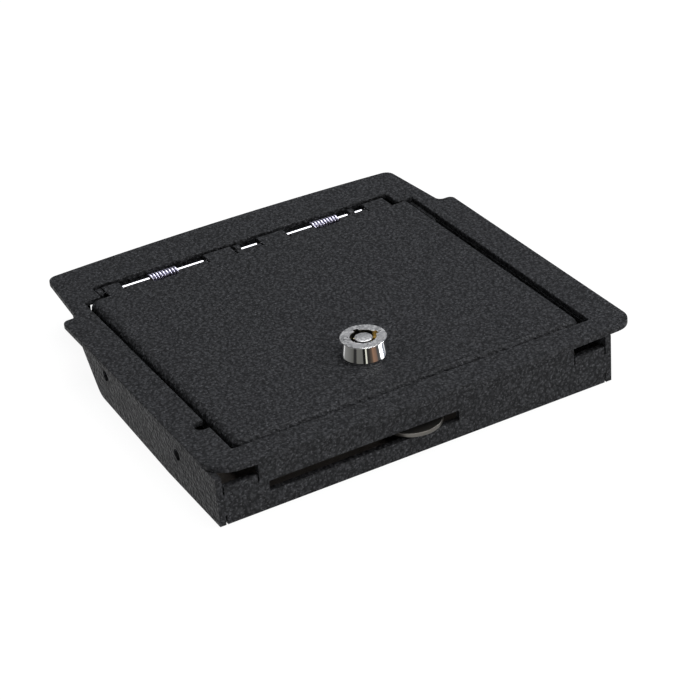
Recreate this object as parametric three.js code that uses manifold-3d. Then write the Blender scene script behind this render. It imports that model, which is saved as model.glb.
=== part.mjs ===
// A console safe: a shallow steel tray under a stepped flange, with a hinged lid held down by a tubular cam lock.
// Plan positions in the dimensions below are x from the tray's centre line, y back from the face of its front
// wall and z up from its underside. The exported group is shifted so that its origin lies under the tray floor.
import * as THREE from 'three';
import { mergeVertices } from 'three/addons/utils/BufferGeometryUtils.js';
import Module from 'manifold-3d';

const wasm = await Module();
wasm.setup();

// Driving dimensions, in millimetres unless named otherwise

// Sheet metal
const SHEET = 2.7; // flange, tray and hinge lugs
const LID_SHEET = 1.5;
const SEAT_GAP = 0.3; // air between pieces that pass close by each other

// Tray
const TRAY_WIDTH = 183;
const TRAY_HEIGHT = 21.7; // underside to the flange
const TRAY_TAPER_START = 46; // the left side runs square to the front up to here
const TRAY_TAPER_END = 140;
const TRAY_TAPER = 2.5; // how far the left side has drawn in by the end
const TRAY_FLOOR_DEPTH = 117.3;
const TRAY_HEEL_ROUND = 9; // where the floor turns up into the sloped rear wall
const REAR_WALL_LEAN = 0.97; // mm back for each mm up

// Bay under the hinge
const BAY_FLOOR = 5;
const BAY_LID_GAP = 1; // to each side of the lid

// Front wall
const SLOT_LEFT = -69;
const SLOT_RIGHT = 17.2;
const SLOT_SILL = 8;
const SLOT_HEIGHT = 4.6;
const CORNER_NOTCH_INNER = 73; // from the centre line to each notch's inner end
const CORNER_NOTCH_HEIGHT = 4.6;
const RELIEF_SLIT = 0.7;
const INNER_RELIEF_DEPTH = 7.8; // below the flange
const OUTER_RELIEF_DEPTH = 8.3;
const SEAM_HEIGHT = 4.4;

// Side walls
const SIDE_HOLE_RADIUS = 2.5;
const SIDE_HOLE_HEIGHT = 14.4;
const SIDE_HOLES_Y = [35, 107.5];

// Flange
const LID_CENTRE_X = 5.6; // the lid and its window are set to the right of the tray
const FLANGE_RIGHT = 99; // from the lid's centre line
const FLANGE_LEFT = 98.2;
const FLANGE_DEPTH = 188.1; // front wall to the middle of the bowed rear edge
const FLANGE_STEP_Y = 144.5;
const FLANGE_STEP_IN = 7; // at the front of the tail
const TAIL_DRAW_IN = 3.1; // how much further in the tail's rear corners are
const TAIL_BOW = 2.9;
const FRONT_OVERHANG = 1.9; // at the middle of the bowed front edge
const FRONT_BOW = 2.7;
const FRONT_LEFT_ROUND = 13;
const FRONT_RIGHT_ROUND = 9;
const FLANGE_STEP_ROUND = 2.8;
const FLANGE_REAR_ROUND = 4.6;

// Window in the flange
const WINDOW_WIDTH = 166.8;
const WINDOW_FRONT_Y = 12;
const WINDOW_JOG_Y = 154.8;
const WINDOW_TAIL_WIDTH = 150.4;
const WINDOW_REAR_Y = 165.2;
const WINDOW_ROUND = 1;
const FINGER_NOTCH_Y = 34.2;
const FINGER_NOTCH_WIDTH = 6.4;
const FINGER_NOTCH_DEPTH = 5.3;

// Lid
const LID_SIDE_GAP = 2.4;
const LID_FRONT_GAP = 1.4;
const LID_JOG_GAP = 2;
const LID_SKIRT = 8; // height of its turned-down edges
const LID_EDGE_ROUND = 2.5;
const LID_CORNER_ROUND = 2;
const LID_OPEN_GAP = 4.8; // hinge line to the cut rear edge between the tabs
const DISH_RADIUS = 32;
const DISH_FLAT_RADIUS = 11.5;
const DISH_DEPTH = 1.5;

// Hinge
const ROD_RADIUS = 1.5;
const ROD_Y = 161.4;
const ROD_END_GAP = 0.6; // to each end of the window's tail
const TABS_CENTRE_X = 4.1;
const MIDDLE_OPENING_WIDTH = 13.8;
const INNER_TAB_WIDTH = 13.3;
const SPRING_OPENING_WIDTH = 41.9;
const TAB_SLIT_WIDTH = 0.9;
const TAB_SLIT_LENGTH = 2.2;
const LUG_RADIUS = 3;
const LUG_FOOT = 4; // how far each lug's foot reaches below its round nose
const MIDDLE_LUG_X = 0.5;
const RIGHT_LUG_X = 59.6;
const LUG_SLOT_WIDTH = 2.7;
const LUG_SLOT_HEIGHT = 5.2;
const LUG_SLOT_Z = 11.8;
const LUG_SLOT_OFFSET = 2.3; // the slot behind the left lug is that much further left

// Springs
const SPRING_WIRE = 0.9;
const SPRING_TURNS = 6.75;
const SPRING_PITCH = 2.2;
const SPRING_LEG_REACH = 10; // forward from the rod to the leg that stands under the lid
const SPRING_LEG_BEND = 1.4;
const SPRING_STEPS_PER_TURN = 8;
const SPRING_SIDES = 5;
const CUTOUT_REAR_WIDTH = 16.3;
const CUTOUT_FRONT_WIDTH = 11.4;
const CUTOUT_DEPTH = 3.4;

// Lock
const LOCK_X = 1;
const LOCK_Y = 46.6;
const HEAD_TOP_RADIUS = 9.75;
const HEAD_NECK_RADIUS = 8.2; // under the head's thin rim
const HEAD_BASE_RADIUS = 9.4;
const HEAD_RIM_DEPTH = 0.7;
const HEAD_HEIGHT = 7.8;
const HEAD_EDGE = 0.3;
const LOCK_BODY_RADIUS = 7.5;
const LOCK_BODY_FLAT = 6.6; // from the axis to each of its two flats
const BODY_END = 11.5; // the lock's body ends that far above the underside, so that its cam clears the floor
const KEYWAY_OUTER_RADIUS = 5.5;
const POST_RADIUS = 3.85;
const KEYWAY_DEPTH = 6.5;
const KEY_NOTCH_WIDTH = 2.2;
const KEY_NOTCH_REACH = 1.3;
const KEY_NOTCH_DEPTH = 3;
const PIN_COUNT = 7;
const PIN_RADIUS = 0.55;
const PIN_RECESS = 2.2; // below the top of the head
const STUD_SQUARE = 6;
const STUD_THREAD_RADIUS = 2.5;
const STUD_THREAD_LENGTH = 4;
const STAR_WASHER_RADIUS = 10;
const STAR_WASHER_THICKNESS = 0.8;
const STAR_TEETH = 10;
const STAR_TOOTH_GAP = 1.4;
const LOCK_NUT_FLATS = 20;
const LOCK_NUT_THICKNESS = 3.5;
const STOP_WASHER_RADIUS = 6.8;
const STOP_WASHER_THICKNESS = 0.8;
const STOP_TAB_WIDTH = 3;
const STOP_TAB_REACH = 2;

// Cam
const CAM_THICKNESS = 1.8;
const CAM_OVERHANG = 2.4; // how far its nose stands out of the front wall
const CAM_NOSE_RADIUS = 12.9;
const CAM_HUB_RADIUS = 9.5;
const CAM_SQUARE_GAP = 0.15;
const CAM_WASHER_RADIUS = 5.2;
const CAM_WASHER_THICKNESS = 0.7;
const CAM_NUT_FLATS = 8;
const CAM_NUT_THICKNESS = 2.6;

// Liner
const LINER_THICKNESS = 1;
const LINER_GAP = 0.5;

// Facets
const ARC_STEP = THREE.MathUtils.degToRad(22.5);
const ROUND_SEGMENTS = 40;
const SMALL_SEGMENTS = 20;

// Places that follow from the dimensions
const FLANGE_TOP = TRAY_HEIGHT + SHEET;
const KNUCKLE_RADIUS = ROD_RADIUS + SEAT_GAP + LID_SHEET;
const ROD_Z = FLANGE_TOP - KNUCKLE_RADIUS; // the rolled tabs end flush with the lid's top
const BAY_REAR_INNER = WINDOW_REAR_Y;
const BAY_REAR_OUTER = BAY_REAR_INNER + SHEET;
const LID_HALF = WINDOW_WIDTH / 2 - LID_SIDE_GAP;
const BAY_HALF = LID_HALF + BAY_LID_GAP + SHEET;
const ROD_HALF = WINDOW_TAIL_WIDTH / 2 - ROD_END_GAP;
const LEFT_LUG_X = LID_CENTRE_X - ROD_HALF + SHEET / 2;
const OUTER_TAB_END = ROD_HALF - SHEET - SEAT_GAP; // from the lid's centre line
const INNER_TAB_END = MIDDLE_OPENING_WIDTH / 2 + INNER_TAB_WIDTH; // from the tabs' centre
const SPRING_OFFSET = INNER_TAB_END + SPRING_OPENING_WIDTH / 2;
const SPRING_RADIUS = ROD_RADIUS + SEAT_GAP + SPRING_WIRE / 2;
const DISH_FLOOR = FLANGE_TOP - DISH_DEPTH;
const DISH_UNDERSIDE = DISH_FLOOR - LID_SHEET;
const HEAD_TOP = DISH_FLOOR + HEAD_HEIGHT;
const STOP_WASHER_TOP = BODY_END - SEAT_GAP;
const CAM_TOP = STOP_WASHER_TOP - STOP_WASHER_THICKNESS;
const CAM_BOTTOM = CAM_TOP - CAM_THICKNESS;
const CAM_NOSE_REACH = LOCK_Y + CAM_OVERHANG - CAM_NOSE_RADIUS; // axis to the nose's centre
const LINER_TOP = SHEET + LINER_THICKNESS;

// Finishes
const BLACK_COAT = { color: 0x2b2c2e, roughness: 0.62, metalness: 0.1 };
const DARK_MAT = { color: 0x1d1a18, roughness: 0.95, metalness: 0 };
const BRIGHT_ROD = { color: 0xe4e4e6, roughness: 0.18, metalness: 1 };
const ZINC = { color: 0xc9c7d4, roughness: 0.35, metalness: 1 };
const CHROME = { color: 0xd6d6d8, roughness: 0.08, metalness: 1 };
const DULL_STEEL = { color: 0x77736f, roughness: 0.5, metalness: 0.9 };
const BRASS = { color: 0xb08d4f, roughness: 0.35, metalness: 1 };

const part = new THREE.Group();
const model = new THREE.Group();
model.position.y = -TRAY_FLOOR_DEPTH / 2;
part.add(model);

// Solids from geometries, and back

function solid(geometry) {
  const bare = geometry.clone();
  bare.deleteAttribute('normal');
  bare.deleteAttribute('uv');
  const merged = mergeVertices(bare, 1e-4);
  const corners = merged.index.array;
  const kept = [];
  for (let i = 0; i < corners.length; i += 3) {
    const [a, b, c] = [corners[i], corners[i + 1], corners[i + 2]];
    if (a !== b && b !== c && c !== a) kept.push(a, b, c);
  }
  return new wasm.Manifold(new wasm.Mesh({
    numProp: 3,
    vertProperties: merged.attributes.position.array,
    triVerts: new Uint32Array(kept),
  }));
}

function addPiece(name, body, finish) {
  const shape = body.getMesh();
  const geometry = new THREE.BufferGeometry();
  geometry.setAttribute('position', new THREE.BufferAttribute(shape.vertProperties, 3));
  geometry.setIndex(new THREE.BufferAttribute(shape.triVerts, 1));
  geometry.computeVertexNormals();
  const mesh = new THREE.Mesh(geometry, new THREE.MeshStandardMaterial(finish));
  mesh.name = name;
  model.add(mesh);
}

function block(x0, x1, y0, y1, z0, z1) {
  const geometry = new THREE.BoxGeometry(x1 - x0, y1 - y0, z1 - z0);
  return solid(geometry.translate((x0 + x1) / 2, (y0 + y1) / 2, (z0 + z1) / 2));
}

// The points of an outline given as [x, y, radius] corners, each rounded to its radius.
function roundedPoints(corners) {
  const points = [];
  corners.forEach(([x, y, radius], i) => {
    const corner = new THREE.Vector2(x, y);
    if (!radius) {
      points.push(corner);
      return;
    }
    const before = corners[(i + corners.length - 1) % corners.length];
    const after = corners[(i + 1) % corners.length];
    const back = new THREE.Vector2(before[0], before[1]).sub(corner).normalize();
    const on = new THREE.Vector2(after[0], after[1]).sub(corner).normalize();
    const halfAngle = Math.acos(THREE.MathUtils.clamp(back.dot(on), -1, 1)) / 2;
    const turn = Math.PI - 2 * halfAngle;
    const centre = back.clone().add(on).normalize().multiplyScalar(radius / Math.sin(halfAngle)).add(corner);
    const start = back.clone().multiplyScalar(radius / Math.tan(halfAngle)).add(corner).sub(centre);
    const side = Math.sign(back.y * on.x - back.x * on.y);
    const steps = Math.max(2, Math.ceil(turn / ARC_STEP));
    for (let s = 0; s <= steps; s++) {
      points.push(start.clone().rotateAround(new THREE.Vector2(), side * turn * s / steps).add(centre));
    }
  });
  return points;
}

// An outline in plan, raised from z0 to z1, with holes where given.
function slab(points, z0, z1, holes = []) {
  const shape = new THREE.Shape(points);
  for (const hole of holes) shape.holes.push(new THREE.Path(hole));
  const geometry = new THREE.ExtrudeGeometry(shape, { depth: z1 - z0, bevelEnabled: false });
  return solid(geometry.translate(0, 0, z0));
}

// An outline in side view, given as [y, z] points, drawn out from x0 to x1.
function sideProfile(points, x0, x1, holes = []) {
  const shape = new THREE.Shape(points);
  for (const hole of holes) shape.holes.push(new THREE.Path(hole));
  const geometry = new THREE.ExtrudeGeometry(shape, { depth: x1 - x0, bevelEnabled: false });
  const toSide = new THREE.Matrix4().makeBasis(
    new THREE.Vector3(0, 1, 0), new THREE.Vector3(0, 0, 1), new THREE.Vector3(1, 0, 0));
  return solid(geometry.applyMatrix4(toSide).translate(x0, 0, 0));
}

function circlePoints(x, y, radius, segments, turn = 0) {
  const points = [];
  for (let i = 0; i < segments; i++) {
    const angle = turn + 2 * Math.PI * i / segments;
    points.push(new THREE.Vector2(x + radius * Math.cos(angle), y + radius * Math.sin(angle)));
  }
  return points;
}

// A solid of revolution about an upright line, from [radius, z] points that run up its outside.
function turned(profile, x, y, segments = ROUND_SEGMENTS) {
  const points = profile.map(([radius, z]) => new THREE.Vector2(radius, z));
  const geometry = new THREE.LatheGeometry(points, segments).rotateX(Math.PI / 2);
  return solid(geometry.translate(x, y, 0));
}

function hexPoints(x, y, acrossFlats) {
  return circlePoints(x, y, acrossFlats / Math.sqrt(3), 6);
}

// Tray

// The tray's plan: its left side draws in a little towards the rear.
function trayPlan(inset, endY) {
  const half = TRAY_WIDTH / 2 - inset;
  const drawnIn = TRAY_TAPER * (endY - TRAY_TAPER_START) / (TRAY_TAPER_END - TRAY_TAPER_START);
  return [[-half, inset], [half, inset], [half, endY], [drawnIn - half, endY],
    [-half, TRAY_TAPER_START]].map(([x, y]) => new THREE.Vector2(x, y));
}

// The tray's side view: a flat floor that turns up into the sloped rear wall.
function trayProfile(inset, top) {
  const setBack = inset * Math.hypot(1, REAR_WALL_LEAN);
  const rear = (z) => TRAY_FLOOR_DEPTH + REAR_WALL_LEAN * z - setBack;
  return roundedPoints([[inset, inset, 0], [rear(inset), inset, TRAY_HEEL_ROUND - inset],
    [rear(top), top, 0], [inset, top, 0]]);
}

function makeTray() {
  const reach = TRAY_FLOOR_DEPTH + REAR_WALL_LEAN * FLANGE_TOP;
  const half = TRAY_WIDTH / 2;
  const outer = slab(trayPlan(0, reach), 0, TRAY_HEIGHT).intersect(
    sideProfile(trayProfile(0, TRAY_HEIGHT), -half, half));
  const inner = slab(trayPlan(SHEET, reach), SHEET, FLANGE_TOP).intersect(
    sideProfile(trayProfile(SHEET, FLANGE_TOP), -half, half));
  const bayLeft = LID_CENTRE_X - BAY_HALF;
  const bayRight = LID_CENTRE_X + BAY_HALF;
  const bayStart = TRAY_FLOOR_DEPTH - TRAY_HEEL_ROUND;
  const bay = block(bayLeft, bayRight, bayStart, BAY_REAR_OUTER, BAY_FLOOR, TRAY_HEIGHT);
  const bayHollow = block(bayLeft + SHEET, bayRight - SHEET, bayStart, BAY_REAR_INNER,
    BAY_FLOOR + SHEET, FLANGE_TOP);
  let tray = outer.add(bay).subtract(inner).subtract(bayHollow);
  tray = tray.subtract(block(SLOT_LEFT, SLOT_RIGHT, -SHEET, 2 * SHEET, SLOT_SILL, SLOT_SILL + SLOT_HEIGHT));
  for (const side of [-1, 1]) tray = tray.subtract(cornerReliefs(side));
  for (const y of SIDE_HOLES_Y) {
    tray = tray.subtract(sideProfile(circlePoints(y, SIDE_HOLE_HEIGHT, SIDE_HOLE_RADIUS, SMALL_SEGMENTS),
      -TRAY_WIDTH, TRAY_WIDTH));
  }
  const slotX = LEFT_LUG_X - LUG_SLOT_OFFSET;
  tray = tray.subtract(block(slotX - LUG_SLOT_WIDTH / 2, slotX + LUG_SLOT_WIDTH / 2,
    BAY_REAR_INNER - SHEET, BAY_REAR_OUTER + SHEET, LUG_SLOT_Z, LUG_SLOT_Z + LUG_SLOT_HEIGHT));
  addPiece('tray_shell', tray, BLACK_COAT);
}

// At each front corner, the notch under the flange, the relief slits at its ends and the open foot of the seam.
function cornerReliefs(side) {
  const outerEnd = TRAY_WIDTH / 2 - SHEET;
  const cut = (near, far, z0, z1) =>
    block(Math.min(side * near, side * far), Math.max(side * near, side * far), -SHEET, SHEET, z0, z1);
  const top = TRAY_HEIGHT + SHEET;
  return cut(CORNER_NOTCH_INNER, outerEnd, TRAY_HEIGHT - CORNER_NOTCH_HEIGHT, top)
    .add(cut(CORNER_NOTCH_INNER, CORNER_NOTCH_INNER + RELIEF_SLIT, TRAY_HEIGHT - INNER_RELIEF_DEPTH, top))
    .add(cut(outerEnd - RELIEF_SLIT, outerEnd, TRAY_HEIGHT - OUTER_RELIEF_DEPTH, top))
    .add(cut(outerEnd - RELIEF_SLIT, outerEnd, -SHEET, SEAM_HEIGHT));
}

function makeLiner() {
  const inset = SHEET + LINER_GAP;
  const liner = slab(trayPlan(inset, TRAY_FLOOR_DEPTH - TRAY_HEEL_ROUND / 2), SHEET, LINER_TOP);
  addPiece('floor_liner', liner, DARK_MAT);
}

// Flange

// The place between two ends, from -1 at the first to 1 at the second.
function acrossFrom(left, right, share) {
  return (left + right) / 2 + share * (right - left) / 2;
}

function flangeOutline() {
  const left = LID_CENTRE_X - FLANGE_LEFT;
  const right = LID_CENTRE_X + FLANGE_RIGHT;
  const tailLeft = left + FLANGE_STEP_IN;
  const tailRight = right - FLANGE_STEP_IN;
  const front = (share) => [acrossFrom(left, right, share), FRONT_BOW * share * share - FRONT_OVERHANG];
  const rear = (share) => [acrossFrom(tailLeft + TAIL_DRAW_IN, tailRight - TAIL_DRAW_IN, share),
    FLANGE_DEPTH - TAIL_BOW * share * share];
  const frontEdge = [];
  const rearEdge = [];
  for (let i = -4; i <= 4; i++) {
    const share = i / 5;
    frontEdge.push([...front(share), 0]);
    rearEdge.push([...rear(-share), 0]);
  }
  return roundedPoints([
    [...front(-1), FRONT_LEFT_ROUND],
    ...frontEdge,
    [...front(1), FRONT_RIGHT_ROUND],
    [right, FLANGE_STEP_Y, FLANGE_STEP_ROUND],
    [tailRight, FLANGE_STEP_Y, FLANGE_STEP_ROUND],
    [...rear(1), FLANGE_REAR_ROUND],
    ...rearEdge,
    [...rear(-1), FLANGE_REAR_ROUND],
    [tailLeft, FLANGE_STEP_Y, FLANGE_STEP_ROUND],
    [left, FLANGE_STEP_Y, FLANGE_STEP_ROUND],
  ]);
}

function windowOutline() {
  const left = LID_CENTRE_X - WINDOW_WIDTH / 2;
  const right = LID_CENTRE_X + WINDOW_WIDTH / 2;
  const tailLeft = LID_CENTRE_X - WINDOW_TAIL_WIDTH / 2;
  const tailRight = LID_CENTRE_X + WINDOW_TAIL_WIDTH / 2;
  const notchEnd = left - FINGER_NOTCH_DEPTH;
  const notchHalf = FINGER_NOTCH_WIDTH / 2;
  const notchRound = 0.95 * notchHalf;
  return roundedPoints([
    [left, WINDOW_FRONT_Y, WINDOW_ROUND],
    [right, WINDOW_FRONT_Y, WINDOW_ROUND],
    [right, WINDOW_JOG_Y, WINDOW_ROUND],
    [tailRight, WINDOW_JOG_Y, WINDOW_ROUND],
    [tailRight, WINDOW_REAR_Y, WINDOW_ROUND],
    [tailLeft, WINDOW_REAR_Y, WINDOW_ROUND],
    [tailLeft, WINDOW_JOG_Y, WINDOW_ROUND],
    [left, WINDOW_JOG_Y, WINDOW_ROUND],
    [left, FINGER_NOTCH_Y + notchHalf, 0],
    [notchEnd, FINGER_NOTCH_Y + notchHalf, notchRound],
    [notchEnd, FINGER_NOTCH_Y - notchHalf, notchRound],
    [left, FINGER_NOTCH_Y - notchHalf, 0],
  ]);
}

function makeFlange() {
  addPiece('top_flange', slab(flangeOutline(), TRAY_HEIGHT, FLANGE_TOP, [windowOutline()]), BLACK_COAT);
}

// Lid

// The stretches of the hinge line that the lid's four tabs cover.
function tabSpans() {
  const openingEnd = INNER_TAB_END + SPRING_OPENING_WIDTH;
  return [
    [LID_CENTRE_X - OUTER_TAB_END, TABS_CENTRE_X - openingEnd],
    [TABS_CENTRE_X - INNER_TAB_END, TABS_CENTRE_X - MIDDLE_OPENING_WIDTH / 2],
    [TABS_CENTRE_X + MIDDLE_OPENING_WIDTH / 2, TABS_CENTRE_X + INNER_TAB_END],
    [TABS_CENTRE_X + openingEnd, LID_CENTRE_X + OUTER_TAB_END],
  ];
}

// The shallow pan: a plate with rounded edges turned down at the front and sides.
function lidPan() {
  const front = WINDOW_FRONT_Y + LID_FRONT_GAP;
  const rear = WINDOW_JOG_Y - LID_JOG_GAP;
  const left = LID_CENTRE_X - LID_HALF;
  const right = LID_CENTRE_X + LID_HALF;
  const pastRear = rear + 4 * LID_EDGE_ROUND;
  const plan = new THREE.Shape(roundedPoints([[left, front, LID_CORNER_ROUND + LID_EDGE_ROUND],
    [right, front, LID_CORNER_ROUND + LID_EDGE_ROUND], [right, pastRear, 0], [left, pastRear, 0]]));
  const rounded = new THREE.ExtrudeGeometry(plan, {
    depth: LID_SKIRT,
    bevelThickness: LID_EDGE_ROUND,
    bevelSize: LID_EDGE_ROUND,
    bevelOffset: -LID_EDGE_ROUND,
    bevelSegments: 3,
  }).translate(0, 0, FLANGE_TOP - LID_SKIRT - LID_EDGE_ROUND);
  const kept = block(left - 1, right + 1, front - 1, rear, FLANGE_TOP - LID_SKIRT, FLANGE_TOP + 1);
  const hollow = slab(roundedPoints([[left + LID_SHEET, front + LID_SHEET, LID_CORNER_ROUND],
    [right - LID_SHEET, front + LID_SHEET, LID_CORNER_ROUND],
    [right - LID_SHEET, pastRear, 0], [left + LID_SHEET, pastRear, 0]]), 0, FLANGE_TOP - LID_SHEET);
  return solid(rounded).intersect(kept).subtract(hollow);
}

function hingeCircle(radius) {
  return circlePoints(ROD_Y, ROD_Z, radius, SMALL_SEGMENTS, Math.PI / SMALL_SEGMENTS);
}

// The narrow rear of the lid, with its tabs, the openings between them and the slits at their roots.
function lidTongue() {
  const plateUnder = FLANGE_TOP - LID_SHEET;
  const start = WINDOW_JOG_Y - 2 * LID_JOG_GAP;
  const cutEdge = ROD_Y - LID_OPEN_GAP;
  const [above, below] = [FLANGE_TOP + 1, plateUnder - 1];
  let tongue = block(LID_CENTRE_X - OUTER_TAB_END, LID_CENTRE_X + OUTER_TAB_END, start, ROD_Y,
    plateUnder, FLANGE_TOP);
  const spans = tabSpans();
  for (let i = 1; i < spans.length; i++) {
    const from = spans[i - 1][1];
    const to = spans[i][0];
    tongue = tongue.subtract(block(from, to, cutEdge, ROD_Y + 1, below, above));
    for (const x of [from, to - TAB_SLIT_WIDTH]) {
      tongue = tongue.subtract(block(x, x + TAB_SLIT_WIDTH, cutEdge - TAB_SLIT_LENGTH, ROD_Y, below, above));
    }
  }
  for (const side of [-1, 1]) {
    const x = TABS_CENTRE_X + side * SPRING_OFFSET;
    const front = cutEdge - CUTOUT_DEPTH;
    const outline = roundedPoints([[x - CUTOUT_FRONT_WIDTH / 2, front, 0], [x + CUTOUT_FRONT_WIDTH / 2, front, 0],
      [x + CUTOUT_REAR_WIDTH / 2, cutEdge + 1, 0], [x - CUTOUT_REAR_WIDTH / 2, cutEdge + 1, 0]]);
    tongue = tongue.subtract(slab(outline, below, above));
  }
  for (const [from, to] of spans) {
    tongue = tongue.add(sideProfile(hingeCircle(KNUCKLE_RADIUS), from, to));
  }
  return tongue.subtract(sideProfile(hingeCircle(ROD_RADIUS + SEAT_GAP), -TRAY_WIDTH, TRAY_WIDTH));
}

// The dish pressed into the lid round the lock: its surface sunk below the plate at `level`.
function dish(level, capZ) {
  const profile = [[0, level - DISH_DEPTH], [DISH_FLAT_RADIUS, level - DISH_DEPTH]];
  const steps = 5;
  for (let i = 1; i <= steps; i++) {
    const share = i / steps;
    const radius = THREE.MathUtils.lerp(DISH_FLAT_RADIUS, DISH_RADIUS, share);
    profile.push([radius, level - DISH_DEPTH * (1 + Math.cos(Math.PI * share)) / 2]);
  }
  profile.push([DISH_RADIUS, capZ], [0, capZ]);
  return turned(profile, LOCK_X, LOCK_Y);
}

// A round lock body with two flats, with room round it where asked.
function lockBodyPlan(gap) {
  const radius = LOCK_BODY_RADIUS + gap;
  const flat = LOCK_BODY_FLAT + gap;
  return circlePoints(0, 0, radius, ROUND_SEGMENTS).map((point) =>
    new THREE.Vector2(LOCK_X + THREE.MathUtils.clamp(point.x, -flat, flat), LOCK_Y + point.y));
}

function makeLid() {
  const plateUnder = FLANGE_TOP - LID_SHEET;
  let lid = lidPan().add(lidTongue());
  lid = lid.add(dish(plateUnder, plateUnder + LID_SHEET / 2));
  lid = lid.subtract(dish(FLANGE_TOP, FLANGE_TOP + 1));
  lid = lid.subtract(slab(lockBodyPlan(SEAT_GAP), DISH_UNDERSIDE - 1, FLANGE_TOP + 1));
  addPiece('lid_panel', lid, BLACK_COAT);
}

// Hinge

function makeRod() {
  const rod = sideProfile(hingeCircle(ROD_RADIUS), LID_CENTRE_X - ROD_HALF, LID_CENTRE_X + ROD_HALF);
  addPiece('hinge_rod', rod, BRIGHT_ROD);
}

function makeLug(name, centreX) {
  const foot = ROD_Z - LUG_RADIUS - LUG_FOOT;
  const noseRound = 0.95 * LUG_RADIUS;
  const outline = roundedPoints([
    [ROD_Y - LUG_RADIUS, ROD_Z + LUG_RADIUS, noseRound],
    [ROD_Y - LUG_RADIUS, ROD_Z - LUG_RADIUS, noseRound],
    [BAY_REAR_INNER, foot, 0],
    [BAY_REAR_INNER, ROD_Z, 0],
    [ROD_Y + LUG_RADIUS, ROD_Z, 0],
    [ROD_Y + LUG_RADIUS, ROD_Z + LUG_RADIUS, noseRound],
  ]);
  const bore = hingeCircle(ROD_RADIUS + SEAT_GAP);
  addPiece(name, sideProfile(outline, centreX - SHEET / 2, centreX + SHEET / 2, [bore]), BLACK_COAT);
}

// A torsion spring's wire: a leg that stands under the lid, the coil round the rod and a leg down to the bay floor.
function springPath(centreX) {
  const startX = centreX - SPRING_TURNS * SPRING_PITCH / 2;
  const legTop = FLANGE_TOP - LID_SHEET - SEAT_GAP;
  const legBottom = BAY_FLOOR + SHEET + SEAT_GAP;
  const lowZ = ROD_Z - SPRING_RADIUS;
  const legY = ROD_Y - SPRING_LEG_REACH;
  const path = [new THREE.Vector3(startX, legY, legTop)];
  const bendSteps = 3;
  for (let i = 0; i <= bendSteps; i++) {
    const angle = Math.PI / 2 * i / bendSteps;
    path.push(new THREE.Vector3(startX, legY + SPRING_LEG_BEND * (1 - Math.cos(angle)),
      lowZ + SPRING_LEG_BEND * (1 - Math.sin(angle))));
  }
  const steps = Math.round(SPRING_TURNS * SPRING_STEPS_PER_TURN);
  for (let i = 0; i <= steps; i++) {
    const turns = i / SPRING_STEPS_PER_TURN;
    const angle = 2 * Math.PI * turns - Math.PI / 2;
    path.push(new THREE.Vector3(startX + SPRING_PITCH * turns, ROD_Y + SPRING_RADIUS * Math.cos(angle),
      ROD_Z + SPRING_RADIUS * Math.sin(angle)));
  }
  const last = path[path.length - 1];
  path.push(new THREE.Vector3(last.x, last.y, ROD_Z - 2 * SPRING_WIRE),
    new THREE.Vector3(last.x, last.y, legBottom));
  return path;
}

// One unbroken tube of straight steps along a path, closed at both ends.
function wire(path, radius, sides) {
  const positions = [];
  const faces = [];
  const tangentAt = (i) => path[Math.min(i + 1, path.length - 1)].clone()
    .sub(path[Math.max(i - 1, 0)]).normalize();
  let across = new THREE.Vector3(1, 0, 0);
  path.forEach((point, i) => {
    const tangent = tangentAt(i);
    across = across.sub(tangent.clone().multiplyScalar(across.dot(tangent))).normalize();
    const up = tangent.clone().cross(across);
    for (let s = 0; s < sides; s++) {
      const angle = 2 * Math.PI * s / sides;
      const spot = across.clone().multiplyScalar(radius * Math.cos(angle));
      spot.add(up.clone().multiplyScalar(radius * Math.sin(angle))).add(point);
      positions.push(spot.x, spot.y, spot.z);
    }
  });
  for (let i = 0; i + 1 < path.length; i++) {
    for (let s = 0; s < sides; s++) {
      const [a, b] = [i * sides + s, i * sides + (s + 1) % sides];
      faces.push(a, b, b + sides, a, b + sides, a + sides);
    }
  }
  const end = (path.length - 1) * sides;
  for (let s = 1; s + 1 < sides; s++) faces.push(0, s + 1, s, end, end + s, end + s + 1);
  const geometry = new THREE.BufferGeometry();
  geometry.setAttribute('position', new THREE.Float32BufferAttribute(positions, 3));
  geometry.setIndex(faces);
  return geometry;
}

// The least air between stretches of a wire that lie at least a few wire widths apart along it.
function leastGap(path, wireWidth) {
  const spots = [];
  let travelled = 0;
  for (let i = 0; i + 1 < path.length; i++) {
    const length = path[i].distanceTo(path[i + 1]);
    const parts = Math.max(1, Math.ceil(length / (wireWidth / 4)));
    for (let p = 0; p < parts; p++) {
      spots.push([path[i].clone().lerp(path[i + 1], p / parts), travelled + length * p / parts]);
    }
    travelled += length;
  }
  let least = Infinity;
  for (const [spot, here] of spots) {
    for (const [other, there] of spots) {
      if (there - here > 4 * wireWidth) least = Math.min(least, spot.distanceTo(other));
    }
  }
  return least - wireWidth;
}

function makeSpring(name, offset) {
  const path = springPath(TABS_CENTRE_X + offset);
  console.log(`${name} least gap to itself ${leastGap(path, SPRING_WIRE).toFixed(2)} mm`);
  addPiece(name, solid(wire(path, SPRING_WIRE / 2, SPRING_SIDES)), ZINC);
}

// Lock

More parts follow.
